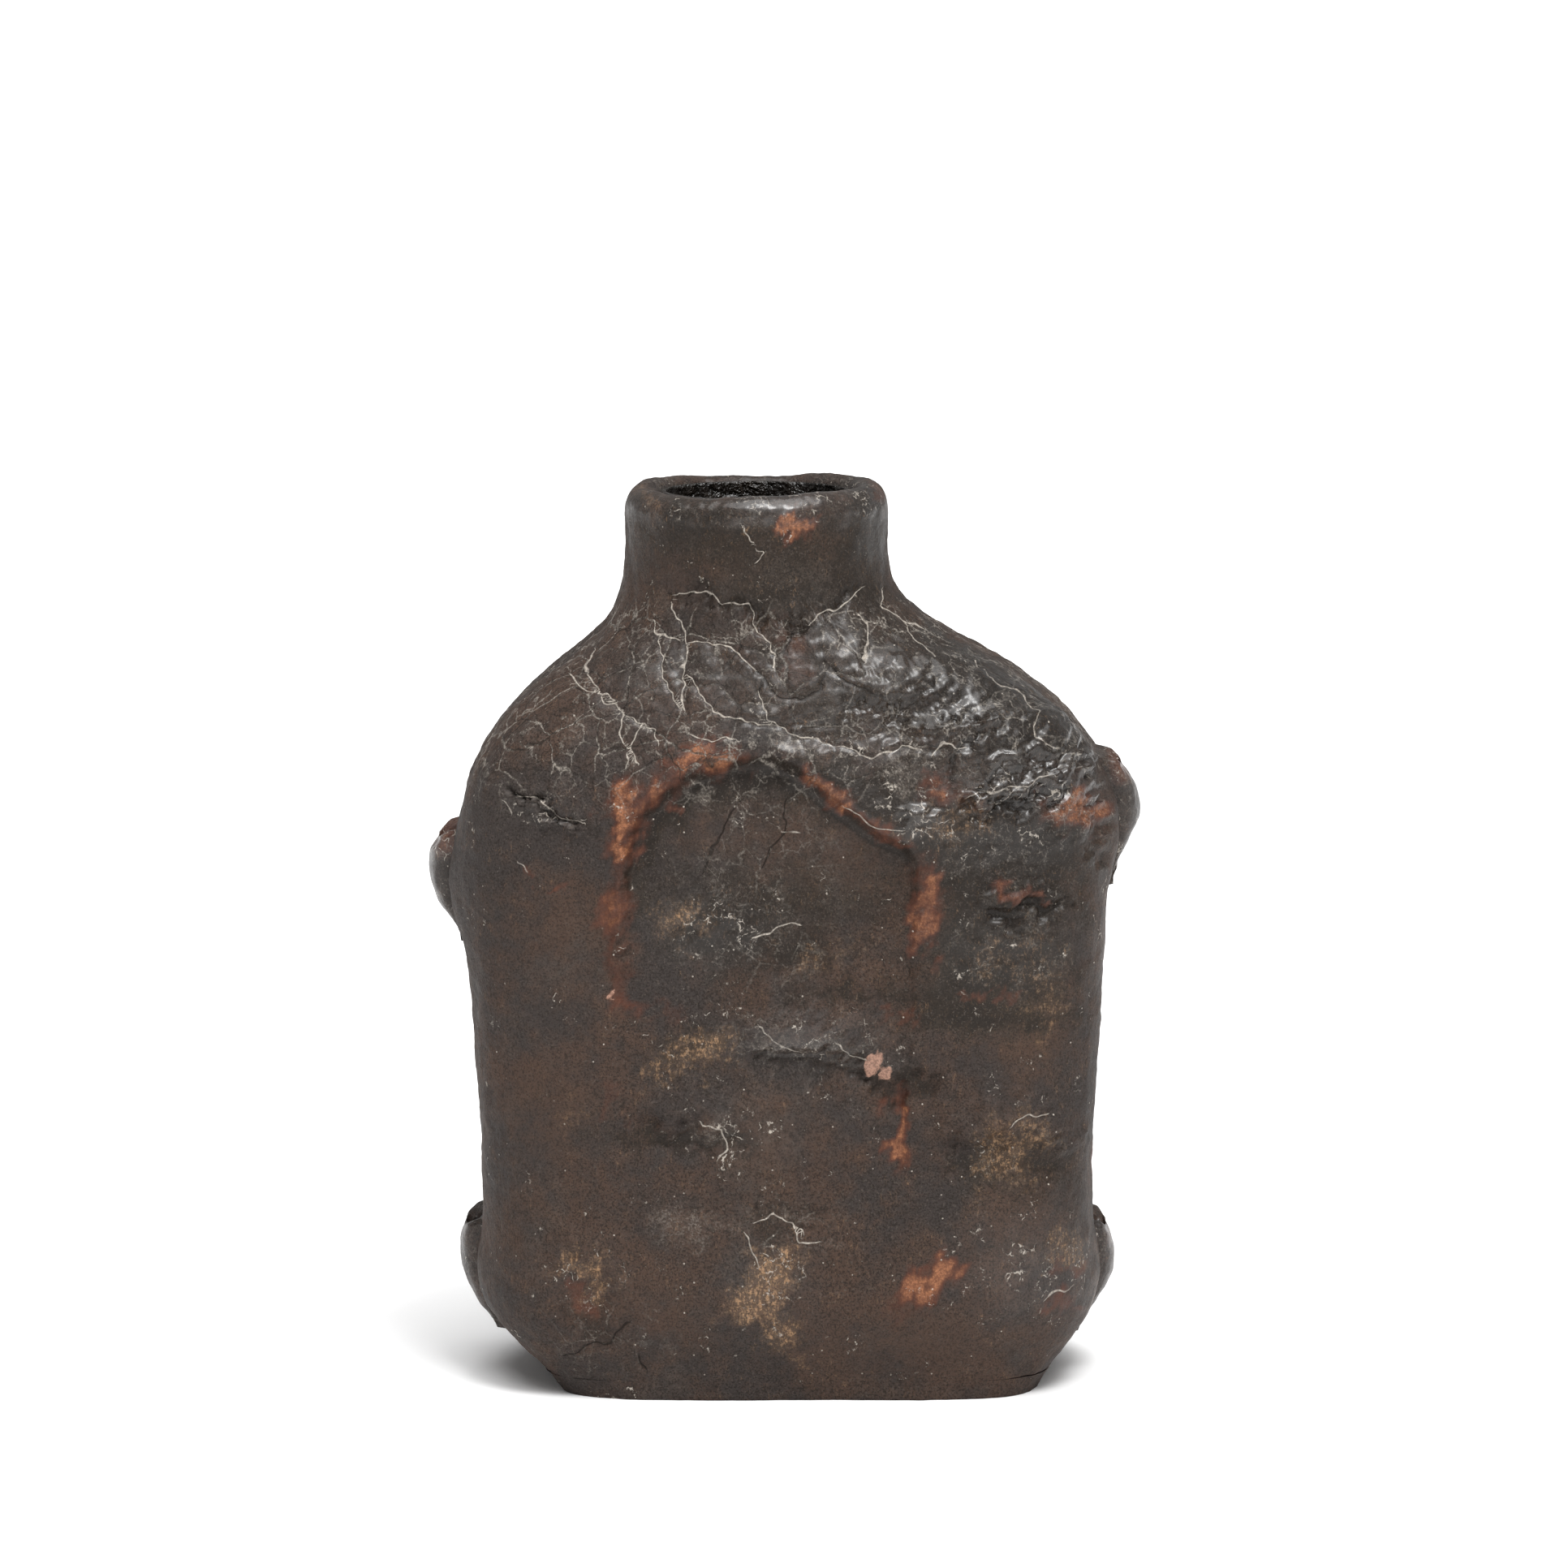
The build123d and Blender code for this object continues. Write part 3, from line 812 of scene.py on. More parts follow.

# Painted shade: dark strokes under edges and in folds, where shade falls: strength, half width and line in
# pixels
painted_shade_strokes = [
    (1.7, 12, [(786, 1052), (792, 1020), (815, 994), (850, 970), (890, 955), (935, 949), (975, 957)]),
    (0.45, 24, [(796, 1040), (810, 1010), (845, 980), (890, 964), (940, 956), (980, 966)]),
    (1.3, 11, [(935, 946), (985, 957), (1010, 975)]),
    (0.9, 8, [(1010, 975), (1040, 1004), (1085, 1036), (1118, 1052)]),
    (1.2, 15, [(1030, 955), (1065, 980), (1105, 1000)]),
    (0.9, 30, [(1180, 1040), (1240, 1050), (1310, 1044)]),
    (0.8, 26, [(860, 1150), (930, 1170), (1010, 1180)]),
    (0.7, 22, [(1170, 1216), (1250, 1214), (1330, 1200)]),
    (0.8, 9, right_crease),
    (0.7, 10, [(1225, 1132), (1250, 1126), (1283, 1117), (1330, 1118)]),
    (0.9, 10, [(1170, 960), (1185, 930), (1200, 905)]),
    (0.7, 12, [(1105, 885), (1150, 872), (1190, 888)]),
    (0.8, 12, [(940, 1306), (990, 1308), (1050, 1316), (1075, 1335)]),
    (0.7, 16, [(1085, 1350), (1115, 1346), (1145, 1336)]),
    (0.6, 12, [(780, 1404), (850, 1412), (925, 1402)]),
    (0.7, 16, [(1170, 1436), (1230, 1426), (1300, 1436)]),
    (0.6, 12, [(1180, 1256), (1250, 1262), (1330, 1252)]),
    (0.5, 14, [(990, 1228), (1060, 1226), (1150, 1236)]),
    (0.6, 10, [(990, 742), (1040, 738), (1080, 722)]),
    (0.5, 14, [(885, 738), (930, 752), (985, 752)]),
    (0.6, 8, [(640, 992), (690, 1022), (730, 1026)]),
    (0.6, 10, [(1068, 620), (1078, 660), (1076, 700)]),
    (0.6, 14, [(1340, 930), (1352, 975), (1348, 1030)]),
    (0.6, 10, [(596, 1490), (592, 1540), (610, 1590)]),
    (0.6, 10, [(1342, 1500), (1346, 1550), (1330, 1600)]),
    (0.7, 12, [(690, 1610), (725, 1640), (760, 1650)]),
    (0.5, 12, [(930, 1492), (965, 1484), (1010, 1498)]),
    (0.5, 12, [(1200, 1540), (1260, 1530), (1310, 1540)]),
]
shade_and_dark_spots_field = skin_sight.strokes(painted_shade_strokes)

# The step under the arch gets a band of painted shade down to a clean edge, and its crest is rubbed lighter:
# strengths, then distances from the arch's edge and the heights where both end, in pixels
step_shade, crest_wear = 1.7, 0.24
step_inner, step_outer, step_end = 6.0, 15.0, 20.0
crest_line_width = 6
reach_ends, reach_starts = 1100.0, 1010.0
arch_reach = ease(-seen_y, -reach_ends, -reach_starts)
step_band = ease(arch_distance, 0.0, step_inner) * (1 - ease(arch_distance, step_outer, step_end))
crest_line = np.exp(-(((arch_distance - crest_line_width) / crest_line_width) ** 2))
shade_and_dark_spots_field += step_shade * skin_sight.spread(np.where(within_arch, step_band, 0.0) * arch_reach)
worn_crest = crest_wear * skin_sight.spread(np.where(within_arch, 0.0, crest_line) * arch_reach)

# The crackled zone: all round the shoulders, and thinly over the middle of the front
shoulder_low, shoulder_full = 0.154, 0.176
shoulder_end, shoulder_top = 0.204, 0.213
thin_crackles = [(0.35, 940, 1050, 90, 60), (0.4, 985, 1290, 90, 30), (0.3, 740, 1650, 70, 40)]
thin_crackles += [(0.3, 960, 1510, 60, 30), (0.3, 940, 1180, 80, 40)]
crackle_zone = ease(skin[..., 2], shoulder_low, shoulder_full)
crackle_zone *= 1 - ease(skin[..., 2], shoulder_end, shoulder_top)
crackle_zone += skin_sight.patches(thin_crackles)

# The back and the sides aren't in view: they get the same kinds of marks, scattered by chance
scatter_seed = 23
hidden_facing, shown_facing = -0.1, 0.3
marks_low, marks_full = 0.004, 0.02
chance = np.random.default_rng(scatter_seed)
hidden = 1 - ease(skin_outward @ towards_camera, hidden_facing, shown_facing)
hidden *= ease(skin[..., 2], marks_low, marks_full)
ragged_waves = [(0.003, [1, 2, 0], 330), (0.0015, [2, 0, 1], 900)]


def scattered(count, strengths, widths):
    """Soft ovals strewn over the parts of the skin that the photograph doesn't show."""
    total = np.zeros(skin.shape[:2])
    rough = skin
    for push, turned, waves in ragged_waves:
        rough = rough + push * np.sin(skin[..., turned] * waves)
    for turn in range(count):
        row = chance.integers(base_end, body_end)
        column = chance.integers(front_columns, skin_columns)
        across, high = chance.uniform(*widths, 2)
        away = rough - skin[row, column]
        flat = (away[..., 0] ** 2 + away[..., 1] ** 2) / across**2 + away[..., 2] ** 2 / high**2
        total += chance.uniform(*strengths) * np.exp(-flat)
    return total * hidden


rubbed_field += worn_crest
ochre_field += worn_crest
rubbed_field += scattered(16, (0.4, 1.0), (0.0025, 0.010))
ochre_field += scattered(16, (0.4, 0.9), (0.004, 0.013))
bloom_field += scattered(12, (0.4, 0.8), (0.005, 0.014))
olive_and_shade_field += scattered(14, (0.4, 0.8), (0.008, 0.024))
glossy_field += scattered(10, (0.4, 0.9), (0.008, 0.024))
fine_field += scattered(10, (0.4, 0.9), (0.008, 0.024))
glitter_field += scattered(12, (0.4, 0.9), (0.006, 0.018))
calm_field += scattered(10, (0.5, 0.9), (0.010, 0.026))
shade_and_dark_spots_field += scattered(12, (0.4, 0.9), (0.003, 0.016))
bare_field += scattered(4, (0.8, 1.0), (0.0012, 0.003))


def as_colour(points, *fields):
    """Three fields over a grid of points, each an array or one number, as a mesh keeps a colour."""
    return np.stack([np.broadcast_to(field, points.shape[:2]) for field in (*fields, 1.0)], axis=-1)


skin_layers = {
    "place": skin + skin_outward * relief[..., None],
    "rest": skin,
    "outward": skin_outward,
    "marks": as_colour(skin, rubbed_field, ochre_field, bloom_field),
    "cracks": as_colour(skin, crackle_zone, pale_crack_field, dark_crack_field),
    "dressing": as_colour(skin, glossy_field, bare_field, olive_and_shade_field),
    "zones": as_colour(skin, fine_field, calm_field, glitter_field),
    "sides": as_colour(skin, pale_crack_side, dark_crack_side, shade_and_dark_spots_field),
}


def layers_of(rows, columns):
    """The skin's layers over some rows and columns: place, rest place, outward direction and marks."""
    kept = np.ix_(rows, np.array(columns) % skin_columns)
    return {name: layer[kept] for name, layer in skin_layers.items()}


def quads(rows, across, number, turned=False):
    """Faces between neighbouring points of a grid, whose numbers a function gives by row and column."""
    row, column = [part.ravel() for part in np.mgrid[0 : rows - 1, 0:across]]
    corners = [number(row, column), number(row, column + 1)]
    corners += [number(row + 1, column + 1), number(row + 1, column)]
    if turned:
        corners = corners[:1] + corners[:0:-1]
    return np.stack(corners, axis=-1).tolist()


def ring_faces(count, around, closed_path):
    """Quads between rings that follow each other, with the last ring joined to the first on a closed path."""
    return quads(
        count + 1 if closed_path else count,
        around,
        lambda row, column: row % count * around + column % around,
    )


def closed_sheet(layers, closes):
    """Layers and faces of a wall: its outer skin, a coarser inner skin and the edges between the two."""
    rows, columns = layers["place"].shape[:2]
    inner = {name: layer[::skin_ratio, ::skin_ratio].copy() for name, layer in layers.items()}
    inner["place"] -= leather_wall * inner["outward"]
    inner["rest"] -= leather_wall * inner["outward"]
    inner["outward"] *= 0.0
    inner_rows, inner_columns = inner["place"].shape[:2]
    start = rows * columns

    def outer_at(row, column):
        return row * columns + column % columns

    def inner_at(row, column):
        return start + row * inner_columns + column % inner_columns

    across = columns if closes else columns - 1
    inner_across = inner_columns if closes else inner_columns - 1
    faces = quads(rows, across, outer_at) + quads(inner_rows, inner_across, inner_at, True)
    steps = range(skin_ratio + 1)
    for place in range(inner_across):
        first = skin_ratio * place
        low = [outer_at(0, first + step) for step in steps]
        low += [inner_at(0, place + 1), inner_at(0, place)]
        high = [outer_at(rows - 1, first + step) for step in steps]
        high += [inner_at(inner_rows - 1, place + 1), inner_at(inner_rows - 1, place)]
        faces += [low[::-1], high]
    if not closes:
        for place in range(inner_rows - 1):
            first = skin_ratio * place
            near = [outer_at(first + step, 0) for step in steps]
            near += [inner_at(place + 1, 0), inner_at(place, 0)]
            far = [outer_at(first + step, columns - 1) for step in steps]
            far += [inner_at(place + 1, inner_columns - 1), inner_at(place, inner_columns - 1)]
            faces += [near, far[::-1]]
    flat = {}
    for name, layer in layers.items():
        width = layer.shape[-1]
        flat[name] = np.concatenate([layer.reshape(-1, width), inner[name].reshape(-1, width)])
    return flat, faces


def leather_object(name, layers, faces, skin_points):
    """An object of the leather's layers, with a sharp edge where its outer skin ends."""
    mesh = bpy.data.meshes.new(name)
    mesh.from_pydata(layers["place"].tolist(), [], faces)
    for layer in ("rest", "outward"):
        attribute = mesh.attributes.new(layer, "FLOAT_VECTOR", "POINT")
        attribute.data.foreach_set("vector", layers[layer].astype(np.float32).ravel())
    for layer in ("marks", "cracks", "dressing", "zones", "sides"):
        attribute = mesh.attributes.new(layer, "FLOAT_COLOR", "POINT")
        attribute.data.foreach_set("color", layers[layer].astype(np.float32).ravel())
    mesh.polygons.foreach_set("use_smooth", np.ones(len(mesh.polygons), dtype=bool))
    if skin_points:
        ends = np.zeros(2 * len(mesh.edges), dtype=np.int32)
        mesh.edges.foreach_get("vertices", ends)
        on_border = np.isin(ends, skin_points).reshape(-1, 2).all(axis=1)
        sharp = mesh.attributes.new("sharp_edge", "BOOLEAN", "EDGE")
        sharp.data.foreach_set("value", on_border)
    mesh.update()
    piece = bpy.data.objects.new(name, mesh)
    bpy.context.scene.collection.objects.link(piece)
    return piece


def border_points(rows, columns, closes):
    """Numbers of the points on the edge of an outer skin."""
    numbers = np.arange(rows * columns).reshape(rows, columns)
    border = [numbers[0], numbers[-1]]
    if not closes:
        border += [numbers[:, 0], numbers[:, -1]]
    return np.concatenate(border).tolist()


# What the leather's relief is made of: lumps from moulding by hand, dimples, puckers, and a net of cracks
relief_sizes = {
    "Lump height": 0.0013,
    "Lump size": 0.034,
    "Dimple height": 0.00085,
    "Dimple size": 0.0105,
    "Pucker height": 0.00032,
    "Pucker size": 0.0036,
    "Crack depth": 0.00016,
    "Cell size": 0.0125,
    "Seed": 4.0,
}
crack_drift_size = 0.008
crack_drift = 0.0035
crack_half_width = 0.05
pillow_width = 0.45


def relief_tree():
    """Geometry Nodes that push the leather's skin in and out along its outward direction."""
    tree = bpy.data.node_groups.new("leather_relief", "GeometryNodeTree")
    tree.interface.new_socket("Geometry", in_out="INPUT", socket_type="NodeSocketGeometry")
    for name in relief_sizes:
        tree.interface.new_socket(name, in_out="INPUT", socket_type="NodeSocketFloat")
    tree.interface.new_socket("Leather", in_out="INPUT", socket_type="NodeSocketMaterial")
    tree.interface.new_socket("Geometry", in_out="OUTPUT", socket_type="NodeSocketGeometry")
    graph = Graph(tree)
    entry = tree.nodes.new("NodeGroupInput")
    given = {socket.name: Wire(graph, socket) for socket in entry.outputs}

    def named(name, kind):
        return graph.add("GeometryNodeInputNamedAttribute", {"data_type": kind}, {"Name": name})

    rest = named("rest", "FLOAT_VECTOR")
    outward = named("outward", "FLOAT_VECTOR")
    zone = graph.add("ShaderNodeSeparateXYZ", {}, {0: named("cracks", "FLOAT_VECTOR")}, 0)

    def bumps(size, detail):
        scale = graph.add("ShaderNodeMath", {"operation": "DIVIDE"}, {0: 1.0, 1: size})
        sockets = {"Vector": rest, "W": given["Seed"], "Scale": scale, "Detail": detail}
        return graph.add("ShaderNodeTexNoise", {"noise_dimensions": "4D"}, sockets) - 0.5

    height = bumps(given["Lump size"], 1.0) * given["Lump height"] * 2.0
    height = height + bumps(given["Dimple size"], 2.0) * given["Dimple height"] * 2.0
    height = height + bumps(given["Pucker size"], 2.0) * given["Pucker height"] * 2.0
    drifted = graph.warped(rest, crack_drift_size, crack_drift)
    scale = graph.add("ShaderNodeMath", {"operation": "DIVIDE"}, {0: 1.0, 1: given["Cell size"]})
    kind = {"feature": "DISTANCE_TO_EDGE"}
    gap = graph.add("ShaderNodeTexVoronoi", kind, {"Vector": drifted, "Scale": scale})
    groove = 1 - gap.between(0.0, crack_half_width * 2)
    pillow = gap.between(0.0, pillow_width)
    height = height + zone * given["Crack depth"] * (pillow - groove)
    push = graph.add("ShaderNodeVectorMath", {"operation": "SCALE"}, {0: outward, 3: height})
    moved = graph.add("GeometryNodeSetPosition", {}, {"Geometry": given["Geometry"], "Offset": push})
    real = graph.add("GeometryNodeRealizeInstances", {}, {0: moved})
    dressed = graph.add("GeometryNodeSetMaterial", {}, {"Geometry": real, "Material": given["Leather"]})
    leave = tree.nodes.new("NodeGroupOutput")
    tree.links.new(dressed.socket, leave.inputs[0])
    return tree


cool_hide = (0.036, 0.028, 0.025, 1.0)
warm_hide = (0.062, 0.036, 0.025, 1.0)
dark_hide = (0.012, 0.0075, 0.0045, 1.0)
olive_hide = (0.032, 0.021, 0.012, 1.0)
dusty_hide = (0.105, 0.084, 0.070, 1.0)
glow_hide = (0.095, 0.032, 0.018, 1.0)
orange_hide = (0.340, 0.140, 0.066, 1.0)
ochre_hide = (0.450, 0.265, 0.140, 1.0)
bloom_colour = (0.280, 0.240, 0.205, 1.0)
# Pale colour of dust and of painted highlights on crack edges, specks and scratches
pale_dust_and_glint = (0.560, 0.500, 0.430, 1.0)
bare_hide = (0.440, 0.250, 0.180, 1.0)
cloud_size, mottle_size, grit_size, fleck_size, fibre_size = 0.034, 0.0075, 0.0014, 0.00055, 0.0020
middle_cell, small_cell, scratch_cell = 0.0056, 0.0025, 0.0034
fine_drift_size, fine_drift = 0.0030, 0.0014
ragged_size, ragged_drift = 0.0052, 0.0052
frayed_size, frayed_drift = 0.0016, 0.0012
scratch_drift_size, scratch_drift = 0.0042, 0.0060
wrinkle_drift_size, wrinkle_drift, wrinkle_size = 0.0090, 0.0030, 0.0042
speck_spacing = 0.0026
pixel_line = 0.7


def leather_finish():
    """Old black-brown leather: mottled, scuffed to ochre and orange, cracked, and shiny on the shoulders."""
    material, graph = new_material("old_leather")
    rest = graph.add("ShaderNodeAttribute", {"attribute_name": "rest"}, {}, "Vector")

    def parts(colour):
        split = graph.add("ShaderNodeSeparateColor", {}, {0: colour}, 0)
        return [Wire(graph, output) for output in split.socket.node.outputs]

    def layer(name):
        return parts(graph.add("ShaderNodeAttribute", {"attribute_name": name}, {}, "Color"))

    rubbed_share, ochre_share, bloom_share = layer("marks")
    crackle, pale_line, dark_line = layer("cracks")
    gloss, bare_share, olive_and_shade_share = layer("dressing")
    fine_share, calm, glitter = layer("zones")
    pale_side, dark_side, shade_and_dark_spots = layer("sides")
    cloud, other_cloud, third_cloud = parts(graph.noise(rest, cloud_size, 4.0, output=1))
    mottle, other_mottle, sparse = parts(graph.noise(rest, mottle_size, 6.0, 0.7, output=1))
    grit, other_grit, third_grit = parts(graph.noise(rest, grit_size, 4.0, 0.75, output=1))
    fleck, other_fleck, third_fleck = parts(graph.noise(rest, fleck_size, 2.0, 0.6, output=1))
    lean = {"Vector": rest, "Scale": (2.4, 2.4, 0.8), "Rotation": (0.0, 0.5, 0.0)}
    fibre = graph.noise(graph.add("ShaderNodeMapping", {}, lean), fibre_size, 4.0, 0.75, distortion=0.5)
    alive = 1 - calm.smaller(1.0) * 0.75

    # The hide itself: cool and warm zones, olive dressing, dark blotches, painted shade under edges and in
    # folds, and dry dusty ones
    tone = cloud * 0.55 + mottle * 0.45
    colour = graph.tint(tone.between(0.40, 0.60), cool_hide, warm_hide)
    olive = (olive_and_shade_share * 0.8 + (other_cloud - 0.5) * 1.2 + (other_mottle - 0.5) * 0.9).between(0.15, 0.75)
    colour = graph.tint(olive * 0.75, colour, olive_hide)
    dark = (other_mottle * 0.5 + third_cloud * 0.3 + grit * 0.2 + olive_and_shade_share * 0.22).between(0.49, 0.72)
    dark_share = (dark * (0.40 + olive_and_shade_share * 0.6)).smaller(0.95) * (0.4 + alive * 0.6)
    colour = graph.tint(dark_share, colour, dark_hide)
    dusty = (third_cloud * 0.45 + sparse * 0.35 + other_grit * 0.2).between(0.50, 0.68)
    colour = graph.tint(dusty * 0.30, colour, dusty_hide)
    lit_fibre = fibre.between(0.55, 0.75) * (mottle.between(0.48, 0.60) * alive * 0.30 + olive * 0.16)
    colour = graph.tint(lit_fibre, colour, ochre_hide)
    # Painted shade from the strokes under edges and in folds, broken up by mottle and grit into dark blotches
    shade_and_blotches = shade_and_dark_spots + (other_mottle - 0.5) * 0.5 + (other_cloud - 0.5) * 0.5 + (grit - 0.5) * 0.2
    shade_and_blotches = shade_and_blotches.between(0.10, 1.1)
    colour = graph.tint(shade_and_blotches * 0.85, colour, dark_hide)
    speckle = (0.40 + alive * 0.45 + olive * 0.25).smaller(1.0)
    colour = graph.tint((0.52 - fleck).between(0.0, 0.14) * speckle * 0.85, colour, dark_hide)
    colour = graph.tint((0.48 - other_grit).between(0.0, 0.14) * speckle * 0.55, colour, dark_hide)
    pale_speckle = (grit * 0.4 + other_fleck * 0.6).between(0.53, 0.66) * speckle
    colour = graph.tint(pale_speckle * 0.50, colour, dusty_hide)

    # Scuffs break up along the grain: each patch is eaten away by mottle, grit and fibre
    ragged = (mottle - 0.5) * 1.3 + (grit - 0.5) * 1.0 + (fibre - 0.5) * 0.9
    ochre_zone = (ochre_share + (sparse - 0.5) * 1.3 + (grit - 0.5) * 0.5).between(0.20, 1.0)
    ochre = ochre_zone * (grit * 0.35 + fibre * 0.4 + other_fleck * 0.25).between(0.48, 0.60)
    colour = graph.tint((ochre_zone * 0.12 + ochre * 0.70).smaller(1.0), colour, ochre_hide)
    bloom_zone = (bloom_share + (sparse - 0.5) * 1.1).between(0.20, 1.1)
    bloom = bloom_zone * (other_grit * 0.5 + other_fleck * 0.5).between(0.46, 0.64)
    colour = graph.tint((bloom_zone * 0.08 + bloom * 0.40).smaller(1.0), colour, bloom_colour)
    glow = (rubbed_share * 1.1 + (mottle - 0.5) * 0.8 + (grit - 0.5) * 0.4).between(0.10, 0.90)
    colour = graph.tint(glow * (0.50 + third_fleck * 0.5).smaller(1.0), colour, glow_hide)
    orange = (rubbed_share + ragged * 0.80).between(0.62, 1.50)
    orange = orange * (0.35 + (other_grit * 0.5 + other_fleck * 0.5).between(0.42, 0.62) * 0.65)
    colour = graph.tint(orange, colour, orange_hide)
    bare = (bare_share + ragged * 0.45).between(0.40, 0.65)
    colour = graph.tint(bare * (0.5 + other_fleck.between(0.4, 0.6) * 0.4), colour, bare_hide)

    # Cracks: a coarse net, two finer ones, and those drawn from the lists, their lifted edges painted pale,
    # partly as dust and partly as painted highlight
    drifted = graph.warped(graph.warped(rest, crack_drift_size, crack_drift), fine_drift_size, fine_drift)
    coarse = graph.crack_distance(drifted, relief_sizes["Cell size"])
    ragged_place = graph.warped(graph.warped(rest, ragged_size, ragged_drift), frayed_size, frayed_drift)
    middle = graph.crack_distance(ragged_place, middle_cell)
    small = graph.crack_distance(ragged_place, small_cell)
    close = fine_share.smaller(1.0)
    coarse_line = (1 - coarse.between(0.004, 0.026)) * crackle * (1 - close * 0.5)
    middle_line = (1 - middle.between(0.008, 0.050)) * (crackle * 0.9 + close * 0.5).smaller(1.0)
    small_line = 1 - small.between(0.014, 0.095)
    small_line = small_line * (close * 0.8 + crackle * 0.35 + glitter * 0.06).smaller(1.0)
    pale_drawn = 1 - pale_side.maths("ABSOLUTE", pale_side).between(pixel_line * 0.5, pixel_line * 1.9)
    pale_drawn = pale_drawn * pale_line.between(0.60, 0.72)
    dark_drawn = 1 - dark_side.maths("ABSOLUTE", dark_side).between(pixel_line * 0.5, pixel_line * 2.2)
    dark_drawn = dark_drawn * dark_line.between(0.60, 0.72)
    broken = other_mottle.between(0.42, 0.56)
    pieces = sparse.between(0.47, 0.55)
    chips = third_grit.between(0.44, 0.56)
    net = coarse_line * broken * 0.9 + middle_line * pieces * 0.8 + small_line * chips * pieces * 0.8
    dark_net = coarse_line * 0.9 + middle_line * 0.6 + small_line * 0.2 + dark_drawn
    colour = graph.tint(dark_net.smaller(1.0) * 0.85, colour, dark_hide)
    # Pale crack lines: partly dust in the cracks, partly painted highlight along their edges
    dry = 0.66 - gloss.smaller(1.0) * 0.46
    dust_and_glint_lines = net * dry * (0.3 + other_fleck.between(0.4, 0.6) * 0.7) + pale_drawn * (0.45 + chips * 0.45)
    colour = graph.tint(dust_and_glint_lines.smaller(1.0) * 0.85, colour, pale_dust_and_glint)

    # Tiny pale specks, partly dust and partly painted highlights, and short scratches painted pale as
    # highlights
    spot = graph.add("ShaderNodeTexVoronoi", {"feature": "F1"}, {"Vector": rest, "Scale": 1 / speck_spacing})
    chance_of, speck_size = parts(Wire(graph, spot.socket.node.outputs[1]))[:2]
    often = chance_of + glitter * 0.20 + close * 0.06
    dust_and_glint_speck = (1 - spot.between(0.060, 0.115)) * often.between(0.80, 0.86) * (0.35 + 0.65 * speck_size)
    colour = graph.tint(dust_and_glint_speck * 0.9, colour, pale_dust_and_glint)
    scratch_glint = graph.crack_distance(graph.warped(rest, scratch_drift_size, scratch_drift), scratch_cell)
    scratch_zone = (other_mottle + glitter * 0.16).between(0.60, 0.66) * third_grit.between(0.46, 0.58)
    scratch_glint = (1 - scratch_glint.between(0.012, 0.070)) * scratch_zone
    colour = graph.tint(scratch_glint * 0.8, colour, pale_dust_and_glint)

    # Shine, and the small relief that only the light shows: grain, wrinkles, lifted edges and scratches
    shine = gloss.smaller(1.2) * (0.55 + mottle.between(0.42, 0.58) * 0.45)
    wrinkle_place = graph.warped(rest, wrinkle_drift_size, wrinkle_drift)
    wrinkle = graph.noise(wrinkle_place, wrinkle_size, 5.0, 0.68) - 0.5
    roughness = 0.64 - shine * 0.26 + bloom_zone * 0.15 + (grit - 0.5) * 0.4 - olive * 0.10 - glitter * 0.08
    roughness = roughness.larger(0.22).smaller(0.95)
    rough_share = (0.50 + alive * 0.6 + glitter * 0.8 + close * 0.5) * (1 - shade_and_blotches * 0.6)
    grain = ((grit - 0.5) * 0.00034 + (fibre - 0.5) * 0.00022 + (other_fleck - 0.5) * 0.00010) * rough_share
    grain = grain + (mottle - 0.5) * 0.0010 + wrinkle * (close * 0.0034 + glitter * 0.0012 + 0.0004 * alive)
    grain = grain + net * 0.00030 - dark_net * 0.00030 + pale_drawn * 0.00025
    grain = grain + dust_and_glint_speck * 0.00010 + scratch_glint * 0.00014
    grain = grain + bloom * 0.00006 + ochre * 0.00006 + small.between(0.0, 0.5) * close * 0.00016
    bump = graph.add("ShaderNodeBump", {}, {"Strength": 1.0, "Distance": 1.0, "Height": grain})
    sockets = {
        "Base Color": colour,
        "Roughness": roughness,
        "Coat Weight": (shine * 0.85 + glitter * 0.30 + close * 0.35 + olive * 0.06).smaller(1.0),
        "Coat Roughness": 0.26,
        "Specular IOR Level": 0.22,
        "Normal": bump,
    }
    shader = graph.add("ShaderNodeBsdfPrincipled", {}, sockets)
    graph.add("ShaderNodeOutputMaterial", {}, {"Surface": shader})
    return material


old_leather = leather_finish()
leather_relief = relief_tree()


def press_relief(piece, sizes):
    """Runs the relief on a piece and keeps the result as a plain mesh."""
    modifier = piece.modifiers.new("relief", "NODES")
    modifier.node_group = leather_relief
    for item in leather_relief.interface.items_tree:
        if item.in_out == "INPUT" and item.name in sizes:
            modifier[item.identifier] = sizes[item.name]
        if item.name == "Leather":
            modifier[item.identifier] = old_leather
    evaluated = piece.evaluated_get(bpy.context.evaluated_depsgraph_get())
    mesh = bpy.data.meshes.new_from_object(evaluated)
    piece.modifiers.remove(modifier)
    piece.data = mesh


panels = {
    "front_panel": (0, front_columns),
    "right_gusset": (front_columns, gusset_columns),
    "back_panel": (front_columns + gusset_columns, front_columns),
    "left_gusset": (2 * front_columns + gusset_columns, gusset_columns),
}
for node, (first, count) in panels.items():
    rows = range(base_end, body_end + 1)
    layers = layers_of(rows, range(first, first + count + 1))
    border = border_points(len(rows), count + 1, False)
    layers, faces = closed_sheet(layers, False)
    panel = leather_object(f"{node}_leather", layers, faces, border)
    press_relief(panel, relief_sizes)
    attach(panel, "root")
    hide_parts(node)

